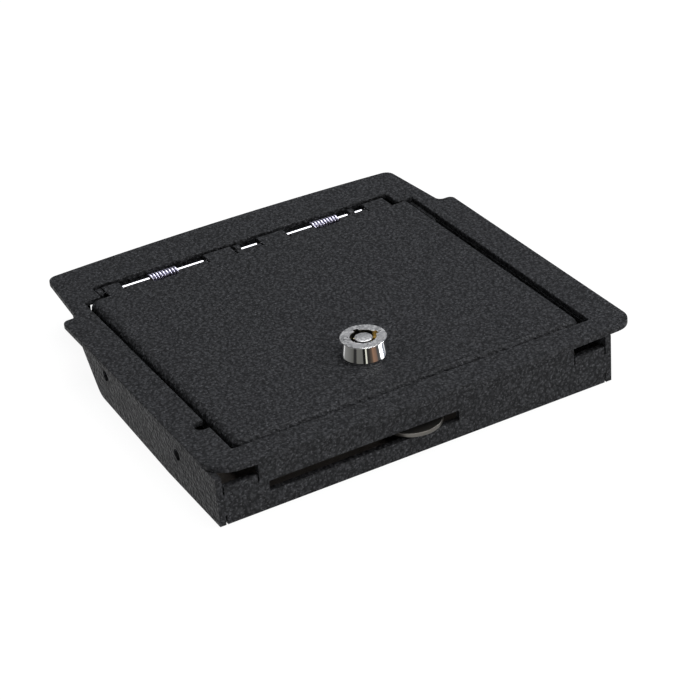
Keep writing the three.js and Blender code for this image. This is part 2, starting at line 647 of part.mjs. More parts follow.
function makeHousing() {
  const head = turned([[0, DISH_FLOOR], [HEAD_BASE_RADIUS, DISH_FLOOR],
    [HEAD_NECK_RADIUS, HEAD_TOP - HEAD_RIM_DEPTH], [HEAD_TOP_RADIUS, HEAD_TOP - HEAD_EDGE],
    [HEAD_TOP_RADIUS - HEAD_EDGE, HEAD_TOP], [0, HEAD_TOP]], LOCK_X, LOCK_Y);
  let housing = head.add(slab(lockBodyPlan(0), BODY_END, DISH_FLOOR + 1));
  const bore = circlePoints(LOCK_X, LOCK_Y, KEYWAY_OUTER_RADIUS, ROUND_SEGMENTS);
  housing = housing.subtract(slab(bore, BODY_END - 1, HEAD_TOP + 1));
  const reach = KEYWAY_OUTER_RADIUS + KEY_NOTCH_REACH;
  const half = KEY_NOTCH_WIDTH / 2;
  const notchFloor = HEAD_TOP - KEY_NOTCH_DEPTH;
  housing = housing.subtract(block(LOCK_X - half, LOCK_X + half, LOCK_Y, LOCK_Y + reach,
    notchFloor, HEAD_TOP + 1));
  housing = housing.subtract(block(LOCK_X, LOCK_X + reach, LOCK_Y - half, LOCK_Y + half,
    notchFloor, HEAD_TOP + 1));
  addPiece('lock_housing', housing, CHROME);
}

function makeSpindle() {
  const pinFloor = HEAD_TOP - KEYWAY_DEPTH;
  const carrier = KEYWAY_OUTER_RADIUS - SEAT_GAP;
  const squareEnd = CAM_BOTTOM;
  const core = turned([[0, STOP_WASHER_TOP], [carrier, STOP_WASHER_TOP], [carrier, pinFloor],
    [POST_RADIUS, pinFloor], [POST_RADIUS, HEAD_TOP - SEAT_GAP], [0, HEAD_TOP - SEAT_GAP]], LOCK_X, LOCK_Y);
  const half = STUD_SQUARE / 2;
  const square = block(LOCK_X - half, LOCK_X + half, LOCK_Y - half, LOCK_Y + half, squareEnd, BODY_END + 1);
  const thread = slab(circlePoints(LOCK_X, LOCK_Y, STUD_THREAD_RADIUS, SMALL_SEGMENTS),
    squareEnd - STUD_THREAD_LENGTH, squareEnd + 1);
  addPiece('lock_spindle', core.add(square).add(thread), CHROME);
}

function makePins() {
  const pinFloor = HEAD_TOP - KEYWAY_DEPTH;
  const ring = (KEYWAY_OUTER_RADIUS + POST_RADIUS) / 2;
  for (let i = 0; i < PIN_COUNT; i++) {
    const angle = 2 * Math.PI * (i + 0.5) / PIN_COUNT + Math.PI / 2;
    const outline = circlePoints(LOCK_X + ring * Math.cos(angle), LOCK_Y + ring * Math.sin(angle),
      PIN_RADIUS, 10);
    addPiece(`lock_pin_${i + 1}`, slab(outline, pinFloor, HEAD_TOP - PIN_RECESS), BRASS);
  }
}

function makeHoldingNut() {
  const washerBottom = DISH_UNDERSIDE - STAR_WASHER_THICKNESS;
  const hole = circlePoints(LOCK_X, LOCK_Y, LOCK_BODY_RADIUS + SEAT_GAP, ROUND_SEGMENTS);
  let washer = slab(circlePoints(LOCK_X, LOCK_Y, STAR_WASHER_RADIUS, ROUND_SEGMENTS),
    washerBottom, DISH_UNDERSIDE, [hole]);
  for (let i = 0; i < STAR_TEETH; i++) {
    const gap = new THREE.BoxGeometry(STAR_WASHER_RADIUS / 4, STAR_TOOTH_GAP, 3 * STAR_WASHER_THICKNESS);
    gap.translate(STAR_WASHER_RADIUS, 0, 0).rotateZ(2 * Math.PI * i / STAR_TEETH);
    washer = washer.subtract(solid(gap.translate(LOCK_X, LOCK_Y, (washerBottom + DISH_UNDERSIDE) / 2)));
  }
  addPiece('lock_star_washer', washer, ZINC);
  const nut = slab(hexPoints(LOCK_X, LOCK_Y, LOCK_NUT_FLATS),
    washerBottom - LOCK_NUT_THICKNESS, washerBottom, [hole]);
  addPiece('lock_nut', nut, ZINC);
}

function squareHole() {
  const half = STUD_SQUARE / 2 + CAM_SQUARE_GAP;
  return block(LOCK_X - half, LOCK_X + half, LOCK_Y - half, LOCK_Y + half, 0, FLANGE_TOP);
}

function makeStopWasher() {
  const disc = slab(circlePoints(LOCK_X, LOCK_Y, STOP_WASHER_RADIUS, ROUND_SEGMENTS),
    CAM_TOP, STOP_WASHER_TOP);
  const tab = block(LOCK_X - STOP_TAB_WIDTH / 2, LOCK_X + STOP_TAB_WIDTH / 2, LOCK_Y,
    LOCK_Y + STOP_WASHER_RADIUS + STOP_TAB_REACH, CAM_TOP, STOP_WASHER_TOP);
  addPiece('lock_stop_washer', disc.add(tab).subtract(squareHole()), ZINC);
}

// The cam: a round hub and a round nose joined by straight sides, pointing forwards through the front wall.
function makeCam() {
  const noseY = LOCK_Y - CAM_NOSE_REACH;
  const lean = Math.asin((CAM_NOSE_RADIUS - CAM_HUB_RADIUS) / CAM_NOSE_REACH);
  const arc = (y, radius, from, to) => {
    const steps = 2 * Math.ceil((to - from) / (Math.PI / 7));
    const points = [];
    for (let i = 0; i <= steps; i++) {
      const angle = from + (to - from) * i / steps;
      points.push(new THREE.Vector2(LOCK_X + radius * Math.cos(angle), y + radius * Math.sin(angle)));
    }
    return points;
  };
  const outline = [...arc(LOCK_Y, CAM_HUB_RADIUS, lean, Math.PI - lean),
    ...arc(noseY, CAM_NOSE_RADIUS, Math.PI - lean, 2 * Math.PI + lean)];
  addPiece('lock_cam', slab(outline, CAM_BOTTOM, CAM_TOP).subtract(squareHole()), DULL_STEEL);
}

function makeCamNut() {
  const washerBottom = CAM_BOTTOM - CAM_WASHER_THICKNESS;
  const hole = circlePoints(LOCK_X, LOCK_Y, STUD_THREAD_RADIUS + SEAT_GAP, SMALL_SEGMENTS);
  const washer = slab(circlePoints(LOCK_X, LOCK_Y, CAM_WASHER_RADIUS, ROUND_SEGMENTS),
    washerBottom, CAM_BOTTOM, [hole]);
  addPiece('cam_washer', washer, ZINC);
  const nut = slab(hexPoints(LOCK_X, LOCK_Y, CAM_NUT_FLATS),
    washerBottom - CAM_NUT_THICKNESS, washerBottom, [hole]);
  addPiece('cam_nut', nut, ZINC);
}

makeTray();
makeLiner();
makeFlange();
makeLid();
makeRod();
makeLug('hinge_bracket_left', LEFT_LUG_X);
makeLug('hinge_bracket_middle', MIDDLE_LUG_X);
makeLug('hinge_bracket_right', RIGHT_LUG_X);
makeSpring('spring_left', -SPRING_OFFSET);
makeSpring('spring_right', SPRING_OFFSET);
makeHousing();
makeSpindle();
makePins();
makeHoldingNut();
makeStopWasher();
makeCam();
makeCamNut();

export default part;
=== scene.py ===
import math

import bmesh
import bpy
from mathutils import Matrix, Vector


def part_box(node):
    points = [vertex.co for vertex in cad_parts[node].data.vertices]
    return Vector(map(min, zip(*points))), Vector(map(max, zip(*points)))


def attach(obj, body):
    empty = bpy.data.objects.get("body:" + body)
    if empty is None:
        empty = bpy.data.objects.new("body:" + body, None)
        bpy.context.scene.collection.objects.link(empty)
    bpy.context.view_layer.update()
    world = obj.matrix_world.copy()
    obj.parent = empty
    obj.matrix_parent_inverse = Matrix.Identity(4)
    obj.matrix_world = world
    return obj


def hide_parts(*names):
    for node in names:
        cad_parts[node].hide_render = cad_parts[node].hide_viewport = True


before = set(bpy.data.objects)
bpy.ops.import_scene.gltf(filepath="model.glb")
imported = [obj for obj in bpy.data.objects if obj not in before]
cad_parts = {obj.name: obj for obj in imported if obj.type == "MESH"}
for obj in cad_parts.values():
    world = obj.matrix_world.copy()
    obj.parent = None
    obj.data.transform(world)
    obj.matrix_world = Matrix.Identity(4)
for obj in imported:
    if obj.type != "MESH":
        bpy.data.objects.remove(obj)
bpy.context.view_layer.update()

# Lengths of the object are millimetres: x from the tray's centre line, y back from the face of its front
# wall and z up from its underside, as in the part's own source. place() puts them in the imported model.
MM = 0.001
FRONT_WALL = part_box("tray_shell")[0].y

# Sheet metal
SHEET = 2.7
LID_SHEET = 1.5
SEAT_GAP = 0.3
BEND_EDGE = 0.4  # the rounding of the tray's bends and cut edges

# Tray
TRAY_WIDTH = 183.0
TRAY_HEIGHT = 21.7
TRAY_TAPER_START = 46.0
TRAY_TAPER_END = 140.0
TRAY_TAPER = 2.5
TRAY_FLOOR_DEPTH = 117.3
TRAY_HEEL_ROUND = 9.0
REAR_WALL_LEAN = 0.97
BAY_FLOOR = 5.0
BAY_LID_GAP = 1.0
SLOT = (-69.0, 17.2, 8.0, 12.6)  # left, right, sill and head
NOTCH_INNER = 73.0
NOTCH_HEIGHT = 4.6
RELIEF_SLIT = 0.7
INNER_RELIEF_DEPTH = 7.8
OUTER_RELIEF_DEPTH = 8.3
SEAM_HEIGHT = 4.4
SIDE_HOLES_Y = (35.0, 107.5)
SIDE_HOLE_HEIGHT = 14.4
SIDE_HOLE_RADIUS = 2.5
LUG_SLOT_WIDTH = 2.7
LUG_SLOT_OFFSET = 2.3  # how far left of the left lug the slot behind it lies
LUG_SLOT = (11.8, 17.0)  # sill and head

# Mat
MAT_INSET = SHEET + 0.5
MAT_THICKNESS = 1.0

# Flange and its window
LID_CENTRE_X = 5.6
FLANGE_TOP = TRAY_HEIGHT + SHEET
FLANGE_LEFT = LID_CENTRE_X - 98.2
FLANGE_RIGHT = LID_CENTRE_X + 99.0
FLANGE_STEP_Y = 144.5
FLANGE_STEP_IN = 7.0
TAIL_DRAW_IN = 3.1
FLANGE_DEPTH = 188.1
TAIL_BOW = 2.9
FRONT_OVERHANG = 1.9
FRONT_BOW = 2.7
FRONT_LEFT_ROUND = 13.0
FRONT_RIGHT_ROUND = 9.0
STEP_ROUND = 2.8
TAIL_ROUND = 4.6
BOW_SHARES = [-0.85 + 0.1 * i for i in range(18)]  # where a bowed edge has its points, from -1 to 1
FLANGE_EDGE = 0.45
WINDOW_HALF = 83.4
WINDOW_FRONT_Y = 12.0
WINDOW_JOG_Y = 154.8
WINDOW_TAIL_HALF = 75.2
WINDOW_REAR_Y = 165.2
WINDOW_ROUND = 1.0
FINGER_NOTCH_Y = 34.2
FINGER_NOTCH_WIDTH = 6.4
FINGER_NOTCH_DEPTH = 5.3
FINGER_NOTCH_MOUTH_ROUND = 0.5

# Lid
LID_HALF = WINDOW_HALF - 2.4
LID_FRONT_Y = WINDOW_FRONT_Y + 1.4
LID_REAR_Y = WINDOW_JOG_Y - 2.0
LID_SKIRT = 8.0
LID_EDGE_ROUND = 3.5
LID_CORNER_ROUND = 2.0
DISH_RADIUS = 30.6
DISH_FLAT_RADIUS = 11.5
DISH_DEPTH = 1.5
DISH_STEEPNESS = 0.7  # under 1, the dish's side is steepest near its middle
DISH_RINGS = 16
LID_HOLE_RADIUS = 7.8
LID_HOLE_FLAT = 6.9  # from the hole's middle to each of its two flats

# Hinge
ROD_RADIUS = 1.5
ROD_Y = 161.4
ROD_Z = FLANGE_TOP - ROD_RADIUS - SEAT_GAP - LID_SHEET
ROD_HALF = WINDOW_TAIL_HALF - 0.6
CUT_EDGE_Y = ROD_Y - 4.8
OUTER_TAB_END = ROD_HALF - SHEET - SEAT_GAP
TAB_WRAP = math.radians(295)
TAB_STEPS = 34
TABS_CENTRE_X = 4.1
MIDDLE_HALF = 6.9
INNER_TAB_END = MIDDLE_HALF + 13.3
SPRING_OPENING = 41.9
SPRING_OFFSET = INNER_TAB_END + SPRING_OPENING / 2
TAB_SLIT_WIDTH = 0.9
TAB_SLIT_LENGTH = 2.2
LUG_RADIUS = 3.0
LUG_FOOT = 4.0
LEFT_LUG_X = LID_CENTRE_X - ROD_HALF + SHEET / 2
MIDDLE_LUG_X = 0.5
RIGHT_LUG_X = 59.6
CUTOUT_REAR_HALF = 7.6
CUTOUT_FRONT_HALF = 5.7
CUTOUT_DEPTH = 3.4
CUTOUTS_CENTRE_X = TABS_CENTRE_X - 1.4

# Springs
SPRING_WIRE = 1.15
SPRING_HOLE = 1.6
SPRING_TURNS = 8.75
SPRING_PITCH = 1.52
SPRING_LEG_REACH = 10.0
SPRING_LEG_BEND = 1.4
SPRING_TURN_STEPS = 28

# Lock
LOCK_X = 1.0
LOCK_Y = 46.6
DISH_FLOOR = FLANGE_TOP - DISH_DEPTH
HEAD_TOP = DISH_FLOOR + 7.8
BODY_RADIUS = 7.5  # over the thread
BODY_ROOT_RADIUS = 7.18
BODY_FLAT = 6.6  # from the axis to each of its two flats
BODY_END = 11.5
HEAD_RIM_RADIUS = 9.75
HEAD_NECK_RADIUS = 8.2
HEAD_BASE_RADIUS = 9.4
TURNING_PITCH = 0.24  # of the fine marks round the head
TURNING_CUT = 0.13
KEYWAY_RADIUS = 5.5
KEYWAY_DEPTH = 6.5
KEY_NOTCH_HALF = 1.1
KEY_NOTCH_REACH = 1.3
KEY_NOTCH_DEPTH = 3.0
# Where the keyway's wall is brass: partly the lock's brass, partly a painted glint on the side that catches
# the light.
KEYWAY_BRASS_GLINT = (-50, 20)  # from and to, in degrees from +X
POST_RADIUS = 3.85
# Below this depth from its top, the post's side has painted shade.
POST_PAINTED_SHADE_START = 0.8
PIN_COUNT = 7
PIN_RADIUS = 0.55
PIN_RECESS = 2.2
STUD_HALF = 3.0  # of the square that carries the cam
STUD_RADIUS = 2.5  # over the thread
STUD_ROOT_RADIUS = 2.2
STUD_LENGTH = 4.0  # of the thread
STOP_WASHER_TOP = BODY_END - SEAT_GAP
CAM_TOP = STOP_WASHER_TOP - 0.8
CAM_BOTTOM = CAM_TOP - 1.8
CAM_NOSE_RADIUS = 12.9
CAM_HUB_RADIUS = 9.5
CAM_NOSE_Y = -2.4 + CAM_NOSE_RADIUS
CAM_HOLE_HALF = 3.15

ARC_STEP = math.radians(7.5)
EDGE_STEPS = 3  # of a plate's rounded edge
BEND_STEPS = 8  # of a quarter turn
ROUND_COUNT = 96  # points on a turned piece
CIRCLE_COUNT = 48  # points on a hole or the rod
WIRE_SIDES = 14


def place(x, y, z):
    return Vector((x * MM, y * MM + FRONT_WALL, z * MM))


def in_side(u, v, w):
    """For outlines in the side view: u goes back, v up and w to the right."""
    return place(w, u, v)


# Outlines


def rounded(corners):
    """The points of a closed outline given as (x, y, radius) corners."""
    points = []
    for i, (x, y, radius) in enumerate(corners):
        corner = Vector((x, y))
        if radius <= 0:
            points.append(corner)
            continue
        back = (Vector(corners[i - 1][:2]) - corner).normalized()
        on = (Vector(corners[(i + 1) % len(corners)][:2]) - corner).normalized()
        half = math.acos(max(-1.0, min(1.0, back.dot(on)))) / 2
        turn = math.pi - 2 * half
        centre = corner + (back + on).normalized() * (radius / math.sin(half))
        start = corner + back * (radius / math.tan(half)) - centre
        side = 1 if back.y * on.x - back.x * on.y > 0 else -1
        steps = max(2, math.ceil(turn / ARC_STEP))
        for s in range(steps + 1):
            points.append(centre + Matrix.Rotation(side * turn * s / steps, 2) @ start)
    return points


def circle(x, y, radius):
    angles = [2 * math.pi * i / CIRCLE_COUNT for i in range(CIRCLE_COUNT)]
    return [Vector((x + radius * math.cos(a), y + radius * math.sin(a))) for a in angles]


def area(points):
    return sum(a.x * b.y - b.x * a.y for a, b in zip(points, points[1:] + points[:1])) / 2


def wound(points, anticlockwise=True):
    return points if (area(points) > 0) == anticlockwise else points[::-1]


def moved_in(points, distance):
    """The closed outline moved towards its left-hand side."""
    out = []
    for i, point in enumerate(points):
        before = (point - points[i - 1]).normalized()
        after = (points[(i + 1) % len(points)] - point).normalized()
        side = Vector((-before.y, before.x))
        mid = (side + Vector((-after.y, after.x))).normalized()
        out.append(point + mid * (distance / max(0.35, mid.dot(side))))
    return out


# Meshes


def made(name, bm):
    bmesh.ops.recalc_face_normals(bm, faces=bm.faces)
    mesh = bpy.data.meshes.new(name)
    bm.to_mesh(mesh)
    bm.free()
    piece = bpy.data.objects.new(name, mesh)
    bpy.context.scene.collection.objects.link(piece)
    return piece


def bridge(bm, ring, other, closed=True):
    count = len(ring)
    for i in range(count if closed else count - 1):
        j = (i + 1) % count
        bm.faces.new((ring[i], ring[j], other[j], other[i]))


def loop_edges(bm, rings):
    edges = []
    for ring in rings:
        for a, b in zip(ring, ring[1:] + ring[:1]):
            edges.append(bm.edges.get((a, b)) or bm.edges.new((a, b)))
    return edges


def plate(name, outline, low, high, holes=(), edge=0.3, facing=place):
    """A plate between two levels, with the edges of its outline and holes rounded."""
    bm = bmesh.new()
    tops = []
    bottoms = []
    for loop in [wound(list(outline))] + [wound(list(hole), False) for hole in holes]:
        rings = []
        angles = [math.pi / 2 * s / EDGE_STEPS for s in range(EDGE_STEPS + 1)] if edge else [0]
        rings += [(edge * (1 - math.sin(angle)), low + edge * (1 - math.cos(angle))) for angle in angles]
        rings += [(edge * (1 - math.cos(angle)), high - edge * (1 - math.sin(angle))) for angle in angles]
        verts = []
        for distance, level in rings:
            ring = moved_in(loop, distance) if distance else loop
            verts.append([bm.verts.new(facing(p.x, p.y, level)) for p in ring])
        for ring, other in zip(verts, verts[1:]):
            bridge(bm, ring, other)
        bottoms.append(verts[0])
        tops.append(verts[-1])
    for rings in (bottoms, tops):
        bmesh.ops.triangle_fill(bm, use_beauty=True, use_dissolve=False, edges=loop_edges(bm, rings))
    return made(name, bm)


def lathe(name, profile, x=LOCK_X, y=LOCK_Y, count=ROUND_COUNT, closed=False):
    """A turned piece from (radius, z) points. closed joins the last point to the first, for a ring."""
    bm = bmesh.new()
    rings = []
    for radius, z in profile:
        if radius <= 0:
            rings.append([bm.verts.new(place(x, y, z))])
            continue
        ring = []
        for i in range(count):
            angle = 2 * math.pi * i / count
            ring.append(bm.verts.new(place(x + radius * math.cos(angle), y + radius * math.sin(angle), z)))
        rings.append(ring)
    pairs = list(zip(rings, rings[1:])) + ([(rings[-1], rings[0])] if closed else [])
    for ring, other in pairs:
        if len(ring) == 1 or len(other) == 1:
            tip, rim = (ring, other) if len(ring) == 1 else (other, ring)
            for a, b in zip(rim, rim[1:] + rim[:1]):
                bm.faces.new((tip[0], a, b))
        else:
            bridge(bm, ring, other)
    return made(name, bm)


def tube(name, path, radius):
    """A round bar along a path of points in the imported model's frame, with slightly rounded ends."""
    bm = bmesh.new()
    across = None
    rings = []
    last = len(path) - 1
    for i, point in enumerate(path):
        tangent = (path[min(i + 1, last)] - path[max(i - 1, 0)]).normalized()
        if across is None:
            across = tangent.orthogonal().normalized()
        across = (across - tangent * across.dot(tangent)).normalized()
        up = tangent.cross(across)
        steps = [(1.0, 0.0)]
        if i == 0:
            steps = [(0.75, 0.0), (1.0, 0.25)]
        elif i == last:
            steps = [(1.0, -0.25), (0.75, 0.0)]
        for share, along in steps:
            centre = point + tangent * (along * radius * MM)
            reach = radius * share * MM
            rings.append([bm.verts.new(centre + (across * math.cos(a) + up * math.sin(a)) * reach)
                          for a in [2 * math.pi * s / WIRE_SIDES for s in range(WIRE_SIDES)]])
    for ring, other in zip(rings, rings[1:]):
        bridge(bm, ring, other)
    bm.faces.new(rings[0])
    bm.faces.new(rings[-1])
    return made(name, bm)


def settled(piece):
    """Applies the piece's modifiers."""
    bpy.context.view_layer.update()
    graph = bpy.context.evaluated_depsgraph_get()
    seen = piece.evaluated_get(graph)
    mesh = bpy.data.meshes.new_from_object(seen, preserve_all_data_layers=True, depsgraph=graph)
    piece.modifiers.clear()
    piece.data = mesh
    return piece


def combined(base, others, operation):
    for other in others:
        step = base.modifiers.new(operation, "BOOLEAN")
        step.operation = operation
        step.solver = "MANIFOLD"
        step.object = other
    settled(base)
    for other in others:
        bpy.data.objects.remove(other)


def softened(piece, width, segments=3, angle=35):
    """Rounds the piece's sharp edges."""
    step = piece.modifiers.new("edges", "BEVEL")
    step.width = width * MM
    step.segments = segments
    step.limit_method = "ANGLE"
    step.angle_limit = math.radians(angle)
    step.use_clamp_overlap = True
    step.miter_outer = "MITER_ARC"
    return settled(piece)


def shaded(piece, angle=38):
    """Smooth shading that keeps the flat faces flat."""
    mesh = piece.data
    mesh.polygons.foreach_set("use_smooth", [True] * len(mesh.polygons))
    mesh.set_sharp_from_angle(angle=math.radians(angle))
    step = piece.modifiers.new("normals", "WEIGHTED_NORMAL")
    step.mode = "FACE_AREA"
    step.weight = 100
    step.keep_sharp = True
    return settled(piece)


def tidied(piece):
    """Welds a copied or cut mesh and joins its flat faces."""
    bm = bmesh.new()
    bm.from_mesh(piece.data)
    bmesh.ops.remove_doubles(bm, verts=bm.verts, dist=0.002 * MM)
    bmesh.ops.dissolve_limit(bm, angle_limit=math.radians(1), verts=bm.verts, edges=bm.edges)
    bm.to_mesh(piece.data)
    bm.free()
    return piece


def copied(node, name):
    piece = bpy.data.objects.new(name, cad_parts[node].data.copy())
    bpy.context.scene.collection.objects.link(piece)
    return tidied(piece)


# Materials


class Finish:
    """A material under construction."""

    def __init__(self, name):
        self.material = bpy.data.materials.new(name)
        self.material.use_nodes = True
        self.nodes = self.material.node_tree.nodes
        self.links = self.material.node_tree.links
        self.shader = self.nodes["Principled BSDF"]
        self.spot = self.nodes.new("ShaderNodeTexCoord").outputs["Object"]

    def node(self, kind, **settings):
        node = self.nodes.new(kind)
        for key, value in settings.items():
            if hasattr(node, key):
                setattr(node, key, value)
            else:
                node.inputs[key.replace("_", " ")].default_value = value
        return node

    def join(self, source, target):
        self.links.new(source, target)

    def noise(self, size, detail=3.0, roughness=0.55, spot=None):
        """Noise with features of about that size in millimetres."""
        node = self.node("ShaderNodeTexNoise", Scale=1000.0 / size, Detail=detail, Roughness=roughness)
        self.join(spot or self.spot, node.inputs["Vector"])
        return node.outputs["Fac"]

    def ramp(self, source, low, high, low_value=0.0, high_value=1.0):
        node = self.node("ShaderNodeMapRange")
        node.inputs["From Min"].default_value = low
        node.inputs["From Max"].default_value = high
        node.inputs["To Min"].default_value = low_value
        node.inputs["To Max"].default_value = high_value
        self.join(source, node.inputs["Value"])
        return node.outputs["Result"]

    def maths(self, operation, a, b):
        node = self.node("ShaderNodeMath", operation=operation)
        for socket, value in zip(node.inputs, (a, b)):
            if isinstance(value, (int, float)):
                socket.default_value = value
            else:
                self.join(value, socket)
        return node.outputs["Value"]

    def blend(self, factor, a, b):
        node = self.node("ShaderNodeMix", data_type="RGBA")
        self.join(factor, node.inputs["Factor"])
        for socket, value in zip((node.inputs[6], node.inputs[7]), (a, b)):
            if isinstance(value, tuple):
                socket.default_value = (*value, 1.0)
            else:
                self.join(value, socket)
        return node.outputs[2]

    def bump(self, height, depth, strength):
        """A surface raised by up to depth millimetres."""
        node = self.node("ShaderNodeBump", Strength=strength, Distance=depth * MM)
        self.join(height, node.inputs["Height"])
        return node.outputs["Normal"]

    def set(self, **values):
        for key, value in values.items():
            socket = self.shader.inputs[key.replace("_", " ")]
            if isinstance(value, (int, float)):
                socket.default_value = value
            elif isinstance(value, tuple):
                socket.default_value = (*value, 1.0)
            else:
                self.join(value, socket)


def coat_finish():
    """Black powder coat with a leathery grain: soft pebbles on lumps, painted darker in their hollows and
    lighter where they stand up as painted shade, and small lighter specks that are painted highlights.
    """
    f = Finish("black_coat")
    wander = f.node("ShaderNodeTexNoise", Scale=480.0, Detail=1.0)
    f.join(f.spot, wander.inputs["Vector"])
    warp = f.node("ShaderNodeVectorMath", operation="MULTIPLY_ADD")
    warp.inputs[1].default_value = (0.0014, 0.0014, 0.0014)
    f.join(wander.outputs["Color"], warp.inputs[0])
    f.join(f.spot, warp.inputs[2])
    cells = f.node("ShaderNodeTexVoronoi", feature="F1", Scale=580.0)
    f.join(warp.outputs[0], cells.inputs["Vector"])
    pebble = f.ramp(cells.outputs["Distance"], 0.0, 0.8, 1.0, 0.0)
    lumps = f.noise(1.6, detail=1.0, roughness=0.4)
    broad = f.noise(6.0, detail=1.0)
    height = f.maths("ADD", f.maths("MULTIPLY", pebble, 0.6), f.maths("MULTIPLY", lumps, 1.3))
    height = f.maths("ADD", height, f.maths("MULTIPLY", broad, 0.6))
    # Painted shade: the grain is darker in its hollows and lighter where pebbles and lumps stand up.
    painted_grain_shade = f.ramp(f.maths("ADD", pebble, lumps), 0.75, 1.3)
    # Painted highlights: small lighter specks at random spots stand in for glints on the grain.
    painted_glints = f.ramp(f.noise(0.9, detail=1.0), 0.55, 0.8)
    base = f.blend(painted_grain_shade, (0.0086, 0.0089, 0.0096), (0.0215, 0.0222, 0.0240))
    base = f.blend(painted_glints, base, (0.050, 0.051, 0.055))
    f.set(Base_Color=base, Roughness=f.ramp(pebble, 0.2, 0.9, 0.46, 0.27), Specular_IOR_Level=0.035,
          Normal=f.bump(height, 0.5, 1.0))
    return f.material


def mat_finish():
    """Dark rubbery mat with a close dimpled face."""
    f = Finish("floor_mat")
    dimples = f.node("ShaderNodeTexVoronoi", feature="SMOOTH_F1", Scale=900.0)
    f.join(f.spot, dimples.inputs["Vector"])
    fine = f.noise(0.4)
    base = f.blend(f.ramp(fine, 0.35, 0.7), (0.022, 0.0185, 0.016), (0.040, 0.034, 0.029))
    f.set(Base_Color=base, Roughness=0.85, Specular_IOR_Level=0.3,
          Normal=f.bump(f.maths("ADD", dimples.outputs["Distance"], fine), 0.15, 0.8))
    return f.material


def metal_finish(name, colour, roughness, grain=0.05, stretch=(1, 1, 1), grain_size=0.5, depth=0.01):
    """Bare or plated metal with a fine grain, drawn out along the axes where stretch is less than one."""
    f = Finish(name)
    scaled = f.node("ShaderNodeVectorMath", operation="MULTIPLY")
    scaled.inputs[1].default_value = stretch
    f.join(f.spot, scaled.inputs[0])
    fine = f.noise(grain_size, spot=scaled.outputs[0])
    broad = f.noise(7.0, detail=2.0)
    darker = tuple(c * (1 - 2.2 * grain) for c in colour)
    f.set(Base_Color=f.blend(f.ramp(f.maths("ADD", fine, broad), 0.7, 1.3), darker, colour), Metallic=1.0,
          Roughness=f.ramp(fine, 0.3, 0.7, max(0.02, roughness - grain), roughness + grain),
          Normal=f.bump(fine, depth, 0.5))
    return f.material


COAT = coat_finish()
MAT = mat_finish()
ROD = metal_finish("bright_rod", (0.36, 0.36, 0.38), 0.07, grain=0.01, stretch=(0.02, 1, 1), depth=0.001)
ZINC = metal_finish("zinc_plate", (0.50, 0.49, 0.60), 0.34, depth=0.002)
POLISHED = metal_finish("polished_plate", (0.80, 0.80, 0.80), 0.06, grain=0.02, depth=0.001)
FACED = metal_finish("faced_plate", (0.45, 0.45, 0.455), 0.4, grain=0.16, grain_size=0.8, depth=0.05)
# Painted shade: near-black metal laid on the keyway's walls and on the post's side down in the keyway.
PAINTED_SHADE_METAL = metal_finish("painted_shade_plate", (0.11, 0.108, 0.10), 0.3)
BRASS = metal_finish("plain_brass", (0.92, 0.78, 0.46), 0.3)
STEEL = metal_finish("dull_steel", (0.13, 0.124, 0.114), 0.42, grain=0.08)


def dressed(piece, body, slot, material, *nodes):
    """Gives a new piece its finish, sets it on its body and lets it stand for its CAD nodes."""
    piece.data.materials.clear()
    piece.data.materials.append(material)
    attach(piece, body)
    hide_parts(*nodes)


# Tray


def tray_plan(inset, end_y):
    """The tray's outline from above, moved in by inset, as far back as end_y."""
    half = TRAY_WIDTH / 2 - inset
    drawn = TRAY_TAPER * (end_y - TRAY_TAPER_START) / (TRAY_TAPER_END - TRAY_TAPER_START)
    return [Vector(p) for p in ((-half, inset), (half, inset), (half, end_y), (drawn - half, end_y),
                                (-half, TRAY_TAPER_START))]


def tray_side(inset, top):
    """The tray's outline from its side, moved in by inset, with the sloped rear wall and its rounded heel."""
    rear = TRAY_FLOOR_DEPTH - inset * math.hypot(1, REAR_WALL_LEAN)
    heel = (rear + REAR_WALL_LEAN * inset, inset, TRAY_HEEL_ROUND - inset)
    return rounded([(inset, inset, 0), heel, (rear + REAR_WALL_LEAN * top, top, 0), (inset, top, 0)])


def block(x0, x1, y0, y1, z0, z1):
    outline = [Vector(p) for p in ((x0, y0), (x1, y0), (x1, y1), (x0, y1))]
    return plate("block", outline, z0, z1, edge=0)


def crossbar(outline):
    """A bar right across the tray, with an outline in its side view."""
    return plate("crossbar", outline, -TRAY_WIDTH / 2 - 1, TRAY_WIDTH / 2 + 1, edge=0, facing=in_side)


